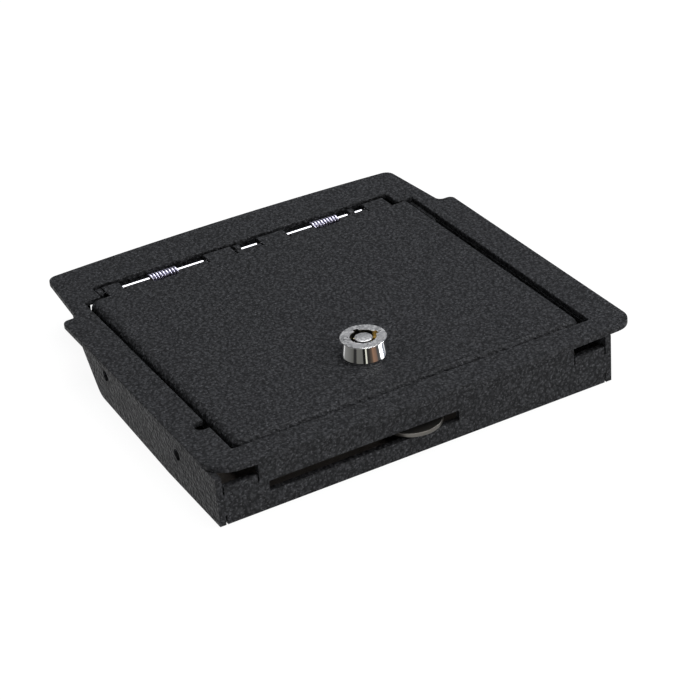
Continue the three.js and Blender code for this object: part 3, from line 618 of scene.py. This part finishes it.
def make_tray():
    reach = TRAY_FLOOR_DEPTH + REAR_WALL_LEAN * FLANGE_TOP
    tray = plate("tray", tray_plan(0, reach), 0, TRAY_HEIGHT, edge=0)
    combined(tray, [crossbar(tray_side(0, TRAY_HEIGHT))], "INTERSECT")
    bay_half = LID_HALF + BAY_LID_GAP + SHEET
    left, right = LID_CENTRE_X - bay_half, LID_CENTRE_X + bay_half
    bay_start = TRAY_FLOOR_DEPTH - TRAY_HEEL_ROUND
    combined(tray, [block(left, right, bay_start, WINDOW_REAR_Y + SHEET, BAY_FLOOR, TRAY_HEIGHT)], "UNION")

    inside = plate("inside", tray_plan(SHEET, reach), SHEET, FLANGE_TOP, edge=0)
    combined(inside, [crossbar(tray_side(SHEET, FLANGE_TOP))], "INTERSECT")
    cuts = [inside,
            block(left + SHEET, right - SHEET, bay_start, WINDOW_REAR_Y, BAY_FLOOR + SHEET, FLANGE_TOP),
            block(SLOT[0], SLOT[1], -SHEET, 2 * SHEET, SLOT[2], SLOT[3])]
    notch_end = TRAY_WIDTH / 2 - SHEET
    corner_cuts = [(NOTCH_INNER, notch_end, TRAY_HEIGHT - NOTCH_HEIGHT, FLANGE_TOP),
                   (NOTCH_INNER, NOTCH_INNER + RELIEF_SLIT, TRAY_HEIGHT - INNER_RELIEF_DEPTH, FLANGE_TOP),
                   (notch_end - RELIEF_SLIT, notch_end, TRAY_HEIGHT - OUTER_RELIEF_DEPTH, FLANGE_TOP),
                   (notch_end - RELIEF_SLIT, notch_end, -SHEET, SEAM_HEIGHT)]
    cuts += [block(-far, -near, -SHEET, SHEET, low, high) for near, far, low, high in corner_cuts]
    cuts += [block(near, far, -SHEET, SHEET, low, high) for near, far, low, high in corner_cuts]
    cuts += [crossbar(circle(y, SIDE_HOLE_HEIGHT, SIDE_HOLE_RADIUS)) for y in SIDE_HOLES_Y]
    slot_left = LEFT_LUG_X - LUG_SLOT_OFFSET - LUG_SLOT_WIDTH / 2
    cuts.append(block(slot_left, slot_left + LUG_SLOT_WIDTH, WINDOW_REAR_Y - SHEET, WINDOW_REAR_Y + 2 * SHEET,
                      *LUG_SLOT))
    combined(tray, cuts, "DIFFERENCE")
    tray.name = "folded_tray"
    dressed(shaded(softened(tidied(tray), BEND_EDGE)), "frame", "coated_steel", COAT, "tray_shell")


def make_liner():
    outline = tray_plan(MAT_INSET, TRAY_FLOOR_DEPTH - TRAY_HEEL_ROUND / 2)
    liner = plate("fitted_mat", outline, SHEET, SHEET + MAT_THICKNESS)
    dressed(shaded(liner), "frame", "mat", MAT, "floor_liner")


# Flange


def flange_front(share):
    """A point of the bowed front edge, from -1 at its left end to 1 at its right one."""
    x = (FLANGE_LEFT + FLANGE_RIGHT + share * (FLANGE_RIGHT - FLANGE_LEFT)) / 2
    return x, FRONT_BOW * share * share - FRONT_OVERHANG


def flange_rear(share):
    drawn = FLANGE_STEP_IN + TAIL_DRAW_IN
    x = (FLANGE_LEFT + FLANGE_RIGHT + share * (FLANGE_RIGHT - FLANGE_LEFT - 2 * drawn)) / 2
    return x, FLANGE_DEPTH - TAIL_BOW * share * share


def flange_outline():
    left, right = FLANGE_LEFT, FLANGE_RIGHT
    return rounded([(*flange_front(-1), FRONT_LEFT_ROUND)]
                   + [(*flange_front(share), 0) for share in BOW_SHARES]
                   + [(*flange_front(1), FRONT_RIGHT_ROUND), (right, FLANGE_STEP_Y, STEP_ROUND),
                      (right - FLANGE_STEP_IN, FLANGE_STEP_Y, STEP_ROUND), (*flange_rear(1), TAIL_ROUND)]
                   + [(*flange_rear(-share), 0) for share in BOW_SHARES]
                   + [(*flange_rear(-1), TAIL_ROUND), (left + FLANGE_STEP_IN, FLANGE_STEP_Y, STEP_ROUND),
                      (left, FLANGE_STEP_Y, STEP_ROUND)])


def window_outline():
    left, right = LID_CENTRE_X - WINDOW_HALF, LID_CENTRE_X + WINDOW_HALF
    tail_left, tail_right = LID_CENTRE_X - WINDOW_TAIL_HALF, LID_CENTRE_X + WINDOW_TAIL_HALF
    corners = [(left, WINDOW_FRONT_Y), (right, WINDOW_FRONT_Y), (right, WINDOW_JOG_Y),
               (tail_right, WINDOW_JOG_Y), (tail_right, WINDOW_REAR_Y),
               (tail_left, WINDOW_REAR_Y), (tail_left, WINDOW_JOG_Y), (left, WINDOW_JOG_Y)]
    half = FINGER_NOTCH_WIDTH / 2
    notch_end, notch_round = left - FINGER_NOTCH_DEPTH, 0.95 * half
    return rounded([(*corner, WINDOW_ROUND) for corner in corners]
                   + [(left, FINGER_NOTCH_Y + half, FINGER_NOTCH_MOUTH_ROUND),
                      (notch_end, FINGER_NOTCH_Y + half, notch_round),
                      (notch_end, FINGER_NOTCH_Y - half, notch_round),
                      (left, FINGER_NOTCH_Y - half, FINGER_NOTCH_MOUTH_ROUND)])


def make_flange():
    flange = plate("flange_plate", flange_outline(), TRAY_HEIGHT, FLANGE_TOP, [window_outline()], FLANGE_EDGE)
    dressed(shaded(flange), "frame", "coated_steel", COAT, "top_flange")


# Lid


def tab_spans():
    """The left and right end of each rolled tab."""
    opening_end = INNER_TAB_END + SPRING_OPENING
    return [(LID_CENTRE_X - OUTER_TAB_END, TABS_CENTRE_X - opening_end),
            (TABS_CENTRE_X - INNER_TAB_END, TABS_CENTRE_X - MIDDLE_HALF),
            (TABS_CENTRE_X + MIDDLE_HALF, TABS_CENTRE_X + INNER_TAB_END),
            (TABS_CENTRE_X + opening_end, LID_CENTRE_X + OUTER_TAB_END)]


def opening_edge(start, end, centre):
    """The plate's edge across one opening between two tabs, from right to left."""
    slit_y = CUT_EDGE_Y - TAB_SLIT_LENGTH
    front_y = CUT_EDGE_Y - CUTOUT_DEPTH
    edge = [(end, slit_y), (end - TAB_SLIT_WIDTH, slit_y), (end - TAB_SLIT_WIDTH, CUT_EDGE_Y)]
    if centre is not None:
        edge += [(centre + CUTOUT_REAR_HALF, CUT_EDGE_Y), (centre + CUTOUT_FRONT_HALF, front_y),
                 (centre - CUTOUT_FRONT_HALF, front_y), (centre - CUTOUT_REAR_HALF, CUT_EDGE_Y)]
    return edge + [(start + TAB_SLIT_WIDTH, CUT_EDGE_Y), (start + TAB_SLIT_WIDTH, slit_y), (start, slit_y)]


def lid_rim():
    """The line where the lid's top turns into its skirt, from the left rear end round the front to the right,
    with the direction outwards at each point."""
    left = LID_CENTRE_X - LID_HALF + LID_EDGE_ROUND
    right = LID_CENTRE_X + LID_HALF - LID_EDGE_ROUND
    front = LID_FRONT_Y + LID_EDGE_ROUND
    line = [(Vector((left, LID_REAR_Y)), Vector((-1, 0)))]
    for x, start in ((left + LID_CORNER_ROUND, 180), (right - LID_CORNER_ROUND, 270)):
        for s in range(BEND_STEPS + 1):
            angle = math.radians(start + 90 * s / BEND_STEPS)
            out = Vector((math.cos(angle), math.sin(angle)))
            line.append((Vector((x, front + LID_CORNER_ROUND)) + out * LID_CORNER_ROUND, out))
    return line + [(Vector((right, LID_REAR_Y)), Vector((1, 0)))]


def skirt_section():
    """The skirt's section from the lid's top round its foot to the underside, as (outwards, z)."""
    radius = LID_EDGE_ROUND
    inner = radius - LID_SHEET
    centre_z = FLANGE_TOP - radius
    foot = FLANGE_TOP - LID_SKIRT
    turns = [math.pi / 2 * s / BEND_STEPS for s in range(BEND_STEPS + 1)]
    section = [(radius * math.sin(a), centre_z + radius * math.cos(a)) for a in turns]
    section += [(radius, foot), (inner, foot)]
    return section + [(inner * math.sin(a), centre_z + inner * math.cos(a)) for a in reversed(turns)]


def dish_depth(radius):
    """How deep the dish is at that distance from the lock's axis."""
    share = max(0.0, min(1.0, (radius - DISH_FLAT_RADIUS) / (DISH_RADIUS - DISH_FLAT_RADIUS)))
    return DISH_DEPTH * (1 + math.cos(math.pi * share ** DISH_STEEPNESS)) / 2


def lid_edge():
    """The flat top's edge from the right end of the skirt over the tabs to the left end, and where in it each
    tab's two corners are."""
    spans = tab_spans()
    edge = [(LID_CENTRE_X + OUTER_TAB_END, LID_REAR_Y)]
    tab_starts = []
    for i in range(len(spans) - 1, -1, -1):
        start, end = spans[i]
        tab_starts.append(len(edge))
        edge += [(end, ROD_Y), (start, ROD_Y)]
        if i:
            side = {3: 1, 1: -1}.get(i)  # the opening on each side of the middle one holds a spring
            centre = None if side is None else CUTOUTS_CENTRE_X + side * SPRING_OFFSET
            edge += opening_edge(spans[i - 1][1], start, centre)
    return edge + [(LID_CENTRE_X - OUTER_TAB_END, LID_REAR_Y)], tab_starts


def rolled_tab(bm, corners, left_x, right_x):
    """Rolls a tab round the rod from its corners on the plate: right and left above, left and right below."""
    outer, inner = ROD_RADIUS + SEAT_GAP + LID_SHEET, ROD_RADIUS + SEAT_GAP
    rows = [corners]
    for s in range(1, TAB_STEPS + 1):
        angle = math.pi / 2 - TAB_WRAP * s / TAB_STEPS
        back, up = math.cos(angle), math.sin(angle)
        rows.append([bm.verts.new(place(x, ROD_Y + radius * back, ROD_Z + radius * up))
                     for x, radius in ((right_x, outer), (left_x, outer), (left_x, inner), (right_x, inner))])
    for row, other in zip(rows, rows[1:]):
        bridge(bm, row, other)
    bm.faces.new(rows[-1])


def dish_rings(bm, base):
    """Rings of points from the dish's rim in to the hole for the lock, on one face of the sheet."""
    step = (DISH_RADIUS - DISH_FLAT_RADIUS) / DISH_RINGS
    rings = []
    for radius in [DISH_RADIUS - step * s for s in range(DISH_RINGS + 1)] + [LID_HOLE_RADIUS]:
        flat = LID_HOLE_FLAT if radius == LID_HOLE_RADIUS else radius
        ring = []
        for i in range(ROUND_COUNT):
            angle = 2 * math.pi * i / ROUND_COUNT
            x = max(-flat, min(flat, radius * math.cos(angle)))
            y = radius * math.sin(angle)
            ring.append(bm.verts.new(place(LOCK_X + x, LOCK_Y + y, base - dish_depth(radius))))
        rings.append(ring)
    for ring, other in zip(rings, rings[1:]):
        bridge(bm, ring, other)
    return rings


def make_lid():
    bm = bmesh.new()
    under = FLANGE_TOP - LID_SHEET
    rim = lid_rim()
    skirt = [[bm.verts.new(place(*(spot + out * away), z)) for spot, out in rim]
             for away, z in skirt_section()]
    for row, other in zip(skirt, skirt[1:]):
        bridge(bm, row, other, closed=False)
    for end in (0, -1):
        bm.faces.new([row[end] for row in skirt])

    edge, tab_starts = lid_edge()
    above = [bm.verts.new(place(x, y, FLANGE_TOP)) for x, y in edge]
    below = [bm.verts.new(place(x, y, under)) for x, y in edge]
    wall_top = [skirt[0][-1]] + above + [skirt[0][0]]
    wall_foot = [skirt[-1][-1]] + below + [skirt[-1][0]]
    for i in range(len(wall_top) - 1):
        if i - 1 not in tab_starts:
            bm.faces.new((wall_top[i], wall_top[i + 1], wall_foot[i + 1], wall_foot[i]))
    for at in tab_starts:
        rolled_tab(bm, (above[at], above[at + 1], below[at + 1], below[at]), edge[at + 1][0], edge[at][0])

    top_rings = dish_rings(bm, FLANGE_TOP)
    under_rings = dish_rings(bm, under)
    bridge(bm, top_rings[-1], under_rings[-1])
    for outline, rings in ((above + skirt[0], top_rings), (below + skirt[-1], under_rings)):
        edges = loop_edges(bm, [outline, rings[0]])
        bmesh.ops.triangle_fill(bm, use_beauty=True, use_dissolve=False, edges=edges)
    lid = made("pressed_lid", bm)
    dressed(shaded(softened(lid, 0.22, segments=2, angle=50)), "lid", "coated_steel", COAT, "lid_panel")


# Hinge


def make_rod():
    rod = plate("bright_hinge_rod", circle(ROD_Y, ROD_Z, ROD_RADIUS), LID_CENTRE_X - ROD_HALF,
                LID_CENTRE_X + OUTER_TAB_END, edge=0.25, facing=in_side)
    dressed(shaded(rod), "frame", "bright_rod", ROD, "hinge_rod")


def make_lug(name, node, x):
    foot = ROD_Z - LUG_RADIUS - LUG_FOOT
    nose = 0.95 * LUG_RADIUS
    front_y, back_y = ROD_Y - LUG_RADIUS, ROD_Y + LUG_RADIUS
    outline = rounded([(front_y, ROD_Z + LUG_RADIUS, nose), (front_y, ROD_Z - LUG_RADIUS, nose),
                       (WINDOW_REAR_Y, foot, 0), (WINDOW_REAR_Y, ROD_Z, 0), (back_y, ROD_Z, 0),
                       (back_y, ROD_Z + LUG_RADIUS, nose)])
    bore = circle(ROD_Y, ROD_Z, ROD_RADIUS + SEAT_GAP)
    lug = plate(name, outline, x - SHEET / 2, x + SHEET / 2, [bore], facing=in_side)
    dressed(shaded(lug), "frame", "coated_steel", COAT, node)


def make_spring(name, node, x):
    """A torsion spring that hangs loosely on the rod, with a leg under the lid and one on the bay's floor."""
    radius = SPRING_HOLE + SPRING_WIRE / 2
    centre_z = ROD_Z + ROD_RADIUS + 0.02 - SPRING_HOLE
    start = x - SPRING_TURNS * SPRING_PITCH / 2
    leg_y = ROD_Y - SPRING_LEG_REACH
    bend = SPRING_LEG_BEND
    bend_z = centre_z - radius + bend
    path = [(start, leg_y, FLANGE_TOP - LID_SHEET - SEAT_GAP), (start, leg_y, bend_z + 1)]
    for s in range(BEND_STEPS + 1):
        angle = math.pi / 2 * s / BEND_STEPS
        path.append((start, leg_y + bend * (1 - math.cos(angle)), bend_z - bend * math.sin(angle)))
    for i in range(round(SPRING_TURNS * SPRING_TURN_STEPS) + 1):
        turn = i / SPRING_TURN_STEPS
        angle = 2 * math.pi * turn - math.pi / 2
        path.append((start + SPRING_PITCH * turn, ROD_Y + radius * math.cos(angle),
                     centre_z + radius * math.sin(angle)))
    end_x, end_y = path[-1][:2]
    path += [(end_x, end_y, ROD_Z - 2), (end_x, end_y, BAY_FLOOR + SHEET + SEAT_GAP)]
    spring = tube(name, [place(*p) for p in path], SPRING_WIRE / 2)
    dressed(shaded(spring), "frame", "zinc", ZINC, node)


# Lock


def turned_side(low, high, start, end):
    """A cone's side with fine turning marks, whose faces look slightly upwards, as (radius, z) points."""
    count = round((end - start) / TURNING_PITCH)
    points = []
    for i in range(count):
        share = i / count
        radius = low + (high - low) * share
        z = start + (end - start) * share
        points += [(radius, z), (radius - TURNING_CUT, z + 0.92 * (end - start) / count)]
    return points + [(high, end)]


def thread(low, high, root, crest, pitch, root_half, crest_half):
    """A thread's side, drawn as rings, as (radius, z) points upwards. The halves are those of its flats."""
    middle = pitch / 2
    points = []
    z = low
    while z < high:
        points += [(root, z + root_half), (crest, z + middle - crest_half),
                   (crest, z + middle + crest_half), (root, z + pitch - root_half)]
        z += pitch
    return points


def square(half):
    corners = ((-1, -1), (1, -1), (1, 1), (-1, 1))
    return [Vector((LOCK_X + a * half, LOCK_Y + b * half)) for a, b in corners]


def make_housing():
    base, top = DISH_FLOOR, HEAD_TOP
    rim = [(HEAD_RIM_RADIUS - away, top - down)
           for away, down in ((0.15, 0.5), (0, 0.35), (0, 0.12), (0.04, 0.04), (0.1, 0))]
    mouth = [(KEYWAY_RADIUS + away, top - down) for away, down in ((0.12, 0), (0.03, 0.04), (0, 0.14))]
    profile = ([(KEYWAY_RADIUS, BODY_END)]
               + thread(BODY_END, base - 0.6, BODY_ROOT_RADIUS, BODY_RADIUS, 0.8, 0.05, 0.08)
               + [(BODY_RADIUS, base - 0.1), (BODY_RADIUS, base), (HEAD_BASE_RADIUS - 0.15, base)]
               + turned_side(HEAD_BASE_RADIUS, HEAD_NECK_RADIUS, base + 0.15, top - 0.7) + rim + mouth)
    housing = lathe("lock_head", profile, count=128, closed=True)
    reach = KEYWAY_RADIUS + KEY_NOTCH_REACH
    half, floor = KEY_NOTCH_HALF, top - KEY_NOTCH_DEPTH
    inside = KEYWAY_RADIUS - 2.5
    wide = BODY_RADIUS + 1.5
    flat_end = BODY_FLAT + 10
    cuts = [block(LOCK_X - flat_end, LOCK_X - BODY_FLAT, LOCK_Y - wide, LOCK_Y + wide, BODY_END - 1, base),
            block(LOCK_X + BODY_FLAT, LOCK_X + flat_end, LOCK_Y - wide, LOCK_Y + wide, BODY_END - 1, base),
            block(LOCK_X - half, LOCK_X + half, LOCK_Y + inside, LOCK_Y + reach, floor, top + 1),
            block(LOCK_X + inside, LOCK_X + reach, LOCK_Y - half, LOCK_Y + half, floor, top + 1)]
    combined(housing, cuts, "DIFFERENCE")
    dressed(shaded(housing, angle=30), "lid", "lock_chrome", POLISHED, "lock_housing")
    # The near-black metal gives the keyway's walls painted shade.
    for material in (FACED, PAINTED_SHADE_METAL, BRASS):
        housing.data.materials.append(material)
    face_z = place(0, 0, top - 0.01).z
    body_z = place(0, 0, BODY_END + 0.1).z
    axis = place(LOCK_X, LOCK_Y, 0)
    for polygon in housing.data.polygons:
        spot = polygon.center - axis
        away = math.hypot(spot.x, spot.y) / MM
        if polygon.normal.z > 0.9 and polygon.center.z > face_z:
            polygon.material_index = 1
        elif away < reach + 0.1 and body_z < polygon.center.z < face_z:
            # Brass on this side of the wall is partly the lock's brass and partly a painted glint.
            bright = KEYWAY_BRASS_GLINT[0] < math.degrees(math.atan2(spot.y, spot.x)) < KEYWAY_BRASS_GLINT[1]
            polygon.material_index = 3 if bright else 2


def make_spindle():
    top = HEAD_TOP - SEAT_GAP
    floor = HEAD_TOP - KEYWAY_DEPTH
    carrier = KEYWAY_RADIUS - SEAT_GAP
    edge = 0.45
    profile = [(0, STOP_WASHER_TOP), (carrier - 0.2, STOP_WASHER_TOP), (carrier, STOP_WASHER_TOP + 0.2),
               (carrier, floor), (POST_RADIUS, floor), (POST_RADIUS, top - POST_PAINTED_SHADE_START),
               (POST_RADIUS, top - edge)]
    profile += [(POST_RADIUS - edge * (1 - math.cos(a)), top - edge * (1 - math.sin(a)))
                for a in [math.pi / 2 * s / 5 for s in range(1, 6)]]
    post = lathe("lock_post", profile + [(0, top)])
    stud_square = plate("lock_stud_square", square(STUD_HALF), CAM_BOTTOM, STOP_WASHER_TOP + 0.2, edge=0)
    stud_end, stud_top = CAM_BOTTOM - STUD_LENGTH, CAM_BOTTOM + 0.3
    profile = ([(0, stud_end)]
               + thread(stud_end, CAM_BOTTOM - 0.1, STUD_ROOT_RADIUS, STUD_RADIUS, 0.64, 0.03, 0.04)
               + [(STUD_ROOT_RADIUS, stud_top), (0, stud_top)])
    stud = lathe("lock_stud", profile, count=40)
    dressed(shaded(post, angle=40), "lock_core", "lock_chrome", FACED, "lock_spindle")
    post.data.materials.append(PAINTED_SHADE_METAL)
    # Painted shade on the post's side below its top edge, down in the keyway.
    painted_shade_z = place(0, 0, top - POST_PAINTED_SHADE_START - 0.1).z
    for polygon in post.data.polygons:
        if polygon.center.z < painted_shade_z:
            polygon.material_index = 1
    stud_square = softened(stud_square, 0.2, segments=2)
    dressed(shaded(stud_square), "lock_core", "lock_chrome", POLISHED, "lock_spindle")
    dressed(shaded(stud, angle=30), "lock_core", "lock_chrome", POLISHED, "lock_spindle")


def make_pins():
    ring = (KEYWAY_RADIUS + POST_RADIUS) / 2
    low, high = HEAD_TOP - KEYWAY_DEPTH, HEAD_TOP - PIN_RECESS
    profile = [(0, low), (PIN_RADIUS, low), (PIN_RADIUS, high - 0.2), (PIN_RADIUS - 0.05, high - 0.07),
               (PIN_RADIUS - 0.17, high), (0, high)]
    for i in range(PIN_COUNT):
        angle = 2 * math.pi * (i + 0.5) / PIN_COUNT + math.pi / 2
        x, y = LOCK_X + ring * math.cos(angle), LOCK_Y + ring * math.sin(angle)
        pin = lathe(f"brass_pin_{i + 1}", profile, x, y, count=24)
        dressed(shaded(pin), "lock_core", "lock_brass", BRASS, f"lock_pin_{i + 1}")


def make_cam():
    reach = LOCK_Y - CAM_NOSE_Y
    lean = math.asin((CAM_NOSE_RADIUS - CAM_HUB_RADIUS) / reach)
    steps = 48
    outline = []
    for y, radius, start, end in ((LOCK_Y, CAM_HUB_RADIUS, lean, math.pi - lean),
                                  (CAM_NOSE_Y, CAM_NOSE_RADIUS, math.pi - lean, 2 * math.pi + lean)):
        for i in range(steps + 1):
            angle = start + (end - start) * i / steps
            outline.append(Vector((LOCK_X + radius * math.cos(angle), y + radius * math.sin(angle))))
    cam = plate("steel_cam", outline, CAM_BOTTOM, CAM_TOP, [square(CAM_HOLE_HALF)], edge=0.25)
    dressed(shaded(cam), "lock_core", "dull_steel", STEEL, "lock_cam")


def make_small_parts():
    """The washers and nuts, as the part's own solids with their edges rounded."""
    for node, name, body in (
            ("lock_star_washer", "toothed_washer", "lid"),
            ("lock_nut", "lock_body_nut", "lid"),
            ("lock_stop_washer", "stop_washer", "lock_core"),
            ("cam_washer", "cam_plain_washer", "lock_core"),
            ("cam_nut", "cam_hex_nut", "lock_core")):
        piece = shaded(softened(copied(node, name), 0.15, segments=2))
        dressed(piece, body, "zinc", ZINC, node)


make_tray()
make_liner()
make_flange()
make_lid()
make_rod()
make_lug("left_lug", "hinge_bracket_left", LEFT_LUG_X)
make_lug("middle_lug", "hinge_bracket_middle", MIDDLE_LUG_X)
make_lug("right_lug", "hinge_bracket_right", RIGHT_LUG_X)
make_spring("left_coil", "spring_left", TABS_CENTRE_X - SPRING_OFFSET)
make_spring("right_coil", "spring_right", TABS_CENTRE_X + SPRING_OFFSET)
make_housing()
make_spindle()
make_pins()
make_cam()
make_small_parts()

# Studio, with its lengths in metres

# The room that metal mirrors: an angle from +X in degrees and the colour of the uprights there
UPRIGHTS = [(-180, (0.13, 0.13, 0.12)), (180, (0.13, 0.13, 0.12)), (-175, (0.03, 0.03, 0.03)),
            (-163, (0.03, 0.03, 0.03)), (-159, (0.17, 0.17, 0.155)), (-129, (0.16, 0.16, 0.15)),
            (-126, (0.01, 0.01, 0.01)), (-114, (0.01, 0.01, 0.01)), (-112, (1.0, 1.0, 0.86)),
            (-107, (1.0, 1.0, 0.86)), (-104, (0.02, 0.02, 0.02)), (-92, (0.05, 0.045, 0.04)),
            (-79, (0.12, 0.085, 0.065)), (-72, (0.34, 0.20, 0.13)), (-54, (0.24, 0.15, 0.11)),
            (-47, (0.08, 0.08, 0.08)), (-37, (0.1, 0.1, 0.1)), (-32, (1.0, 1.0, 1.0)),
            (-12, (0.9, 0.95, 1.0)), (-6, (0.22, 0.25, 0.32)), (30, (0.18, 0.19, 0.23)),
            (62, (0.18, 0.18, 0.20)), (67, (0.36, 0.36, 0.36)), (90, (0.36, 0.36, 0.36)),
            (98, (0.13, 0.13, 0.12))]
CEILING = (0.18, 0.18, 0.21)
CEILING_START = math.radians(45)  # above the horizon
CEILING_END = math.radians(58)
HORIZON_TOP = 0.1  # the sine of the angle at which the white horizon has faded out
CAMERA_ANGLES = (27.295, 30.429, -4.638)  # clockwise from +Y, downwards and rolled, in degrees
CAMERA_SPOT = (-0.35469, -0.68864, 0.47364)
CAMERA_LENS = 110.89  # millimetres, for a sensor 36 mm wide
FLOOR_HALF = 4.0
FLOOR_LEVEL = -0.0002
FLOOR_COLOUR = (0.93, 0.93, 0.93)
FLOOR_OWN_LIGHT = 0.93  # the share of its white that is light of its own, where it is seen
LAMPS = [("top_light", (0.35, 0.15, 1.5), (0.35, 0.15, 0), (1.4, 1.6), 45),
         ("right_light", (1.2, -0.5, 0.5), (0.05, 0, 0), (0.35, 0.5), 9),
         ("front_light", (-0.1, -1.3, 0.28), (0, 0, 0), (1.4, 0.3), 12)]


def seen_straight(nodes, links):
    """1 for what is seen straight, in a mirror or through glass, and 0 for rays that only carry light."""
    path = nodes.new("ShaderNodeLightPath")
    total = path.outputs["Is Camera Ray"]
    for name in ("Is Glossy Ray", "Is Transmission Ray"):
        node = nodes.new("ShaderNodeMath")
        node.operation = "MAXIMUM"
        links.new(total, node.inputs[0])
        links.new(path.outputs[name], node.inputs[1])
        total = node.outputs[0]
    return total


def studio_room(nodes, links):
    """The room round the object: uprights of different greys under a grey ceiling, over a white horizon that
    only mirrors show."""
    way = nodes.new("ShaderNodeTexCoord")
    parts = nodes.new("ShaderNodeSeparateXYZ")
    links.new(way.outputs["Generated"], parts.inputs[0])
    angle = nodes.new("ShaderNodeMath")
    angle.operation = "ARCTAN2"
    links.new(parts.outputs["Y"], angle.inputs[0])
    links.new(parts.outputs["X"], angle.inputs[1])
    turn = nodes.new("ShaderNodeMapRange")
    turn.inputs["From Min"].default_value = -math.pi
    turn.inputs["From Max"].default_value = math.pi
    links.new(angle.outputs[0], turn.inputs["Value"])
    uprights = nodes.new("ShaderNodeValToRGB")
    stops = uprights.color_ramp.elements
    for i, (degrees, colour) in enumerate(UPRIGHTS):
        stop = stops[i] if i < 2 else stops.new(0.5)
        stop.position = (degrees + 180) / 360
        stop.color = (*colour, 1.0)
    links.new(turn.outputs["Result"], uprights.inputs[0])
    height = nodes.new("ShaderNodeMapRange")
    height.interpolation_type = "SMOOTHSTEP"
    height.inputs["From Min"].default_value = 0.0
    height.inputs["From Max"].default_value = HORIZON_TOP
    height.inputs["To Min"].default_value = 1.0
    height.inputs["To Max"].default_value = 0.0
    links.new(parts.outputs["Z"], height.inputs["Value"])
    low = nodes.new("ShaderNodeMath")
    low.operation = "MULTIPLY"
    links.new(height.outputs["Result"], low.inputs[0])
    links.new(nodes.new("ShaderNodeLightPath").outputs["Is Glossy Ray"], low.inputs[1])
    high = nodes.new("ShaderNodeMapRange")
    high.interpolation_type = "SMOOTHSTEP"
    high.inputs["From Min"].default_value = math.sin(CEILING_START)
    high.inputs["From Max"].default_value = math.sin(CEILING_END)
    links.new(parts.outputs["Z"], high.inputs["Value"])
    colour = uprights.outputs["Color"]
    for share, other in ((high.outputs["Result"], CEILING), (low.outputs[0], (1, 1, 1))):
        mix = nodes.new("ShaderNodeMix")
        mix.data_type = "RGBA"
        links.new(share, mix.inputs["Factor"])
        links.new(colour, mix.inputs[6])
        mix.inputs[7].default_value = (*other, 1)
        colour = mix.outputs[2]
    return colour


def make_floor():
    """A white floor that takes a faint shadow: where it is seen, most of its white is light of its own."""
    mesh = bpy.data.meshes.new("studio_floor")
    corners = [(a * FLOOR_HALF, b * FLOOR_HALF, FLOOR_LEVEL) for a, b in ((-1, -1), (1, -1), (1, 1), (-1, 1))]
    mesh.from_pydata(corners, [], [(0, 1, 2, 3)])
    floor = bpy.data.objects.new("studio_floor", mesh)
    bpy.context.scene.collection.objects.link(floor)
    material = bpy.data.materials.new("pale_floor")
    material.use_nodes = True
    nodes, links = material.node_tree.nodes, material.node_tree.links
    nodes.clear()
    lit = nodes.new("ShaderNodeBsdfDiffuse")
    lit.inputs["Color"].default_value = (*FLOOR_COLOUR, 1)
    white = nodes.new("ShaderNodeEmission")
    white.inputs["Strength"].default_value = 1.0
    share = nodes.new("ShaderNodeMath")
    share.operation = "MULTIPLY"
    share.inputs[1].default_value = FLOOR_OWN_LIGHT
    links.new(seen_straight(nodes, links), share.inputs[0])
    mix = nodes.new("ShaderNodeMixShader")
    links.new(share.outputs[0], mix.inputs[0])
    links.new(lit.outputs[0], mix.inputs[1])
    links.new(white.outputs[0], mix.inputs[2])
    links.new(mix.outputs[0], nodes.new("ShaderNodeOutputMaterial").inputs["Surface"])
    mesh.materials.append(material)


def make_world():
    """A white backdrop for the camera, and the room for mirrors and for light."""
    world = bpy.data.worlds.new("studio")
    bpy.context.scene.world = world
    world.use_nodes = True
    nodes, links = world.node_tree.nodes, world.node_tree.links
    nodes.clear()
    room = nodes.new("ShaderNodeBackground")
    links.new(studio_room(nodes, links), room.inputs["Color"])
    white = nodes.new("ShaderNodeBackground")
    white.inputs["Strength"].default_value = 1.0
    path = nodes.new("ShaderNodeLightPath")
    straight = nodes.new("ShaderNodeMath")
    straight.operation = "MAXIMUM"
    links.new(path.outputs["Is Camera Ray"], straight.inputs[0])
    links.new(path.outputs["Is Transmission Ray"], straight.inputs[1])
    mix = nodes.new("ShaderNodeMixShader")
    links.new(straight.outputs[0], mix.inputs[0])
    links.new(room.outputs[0], mix.inputs[1])
    links.new(white.outputs[0], mix.inputs[2])
    links.new(mix.outputs[0], nodes.new("ShaderNodeOutputWorld").inputs["Surface"])


def make_lamp(name, spot, aim, size, power):
    """An oblong lamp of so many watts at spot, facing aim."""
    lamp = bpy.data.lights.new(name, "AREA")
    lamp.shape = "RECTANGLE"
    lamp.size, lamp.size_y = size
    lamp.energy = power
    holder = bpy.data.objects.new(name, lamp)
    bpy.context.scene.collection.objects.link(holder)
    holder.location = spot
    holder.rotation_euler = (Vector(aim) - Vector(spot)).to_track_quat("-Z", "Y").to_euler()


def make_camera():
    """The photograph's view, solved from the straight edges of the flange and the tray."""
    azimuth, pitch, roll = (math.radians(angle) for angle in CAMERA_ANGLES)
    level = Vector((math.cos(azimuth), -math.sin(azimuth), 0))
    forward = Vector((math.sin(azimuth), math.cos(azimuth), 0))
    ahead = forward * math.cos(pitch) - Vector((0, 0, math.sin(pitch)))
    up = level.cross(ahead)
    right = level * math.cos(roll) + up * math.sin(roll)
    top = up * math.cos(roll) - level * math.sin(roll)
    data = bpy.data.cameras.new("camera")
    data.sensor_width = 36.0
    data.lens = CAMERA_LENS
    data.clip_start, data.clip_end = 0.05, 50
    camera = bpy.data.objects.new("camera", data)
    bpy.context.scene.collection.objects.link(camera)
    turn = Matrix((right, top, -ahead)).transposed().to_4x4()
    camera.matrix_world = Matrix.Translation(CAMERA_SPOT) @ turn
    bpy.context.scene.camera = camera


make_floor()
make_world()
for lamp_values in LAMPS:
    make_lamp(*lamp_values)
make_camera()
bpy.context.scene.view_settings.view_transform = "Standard"
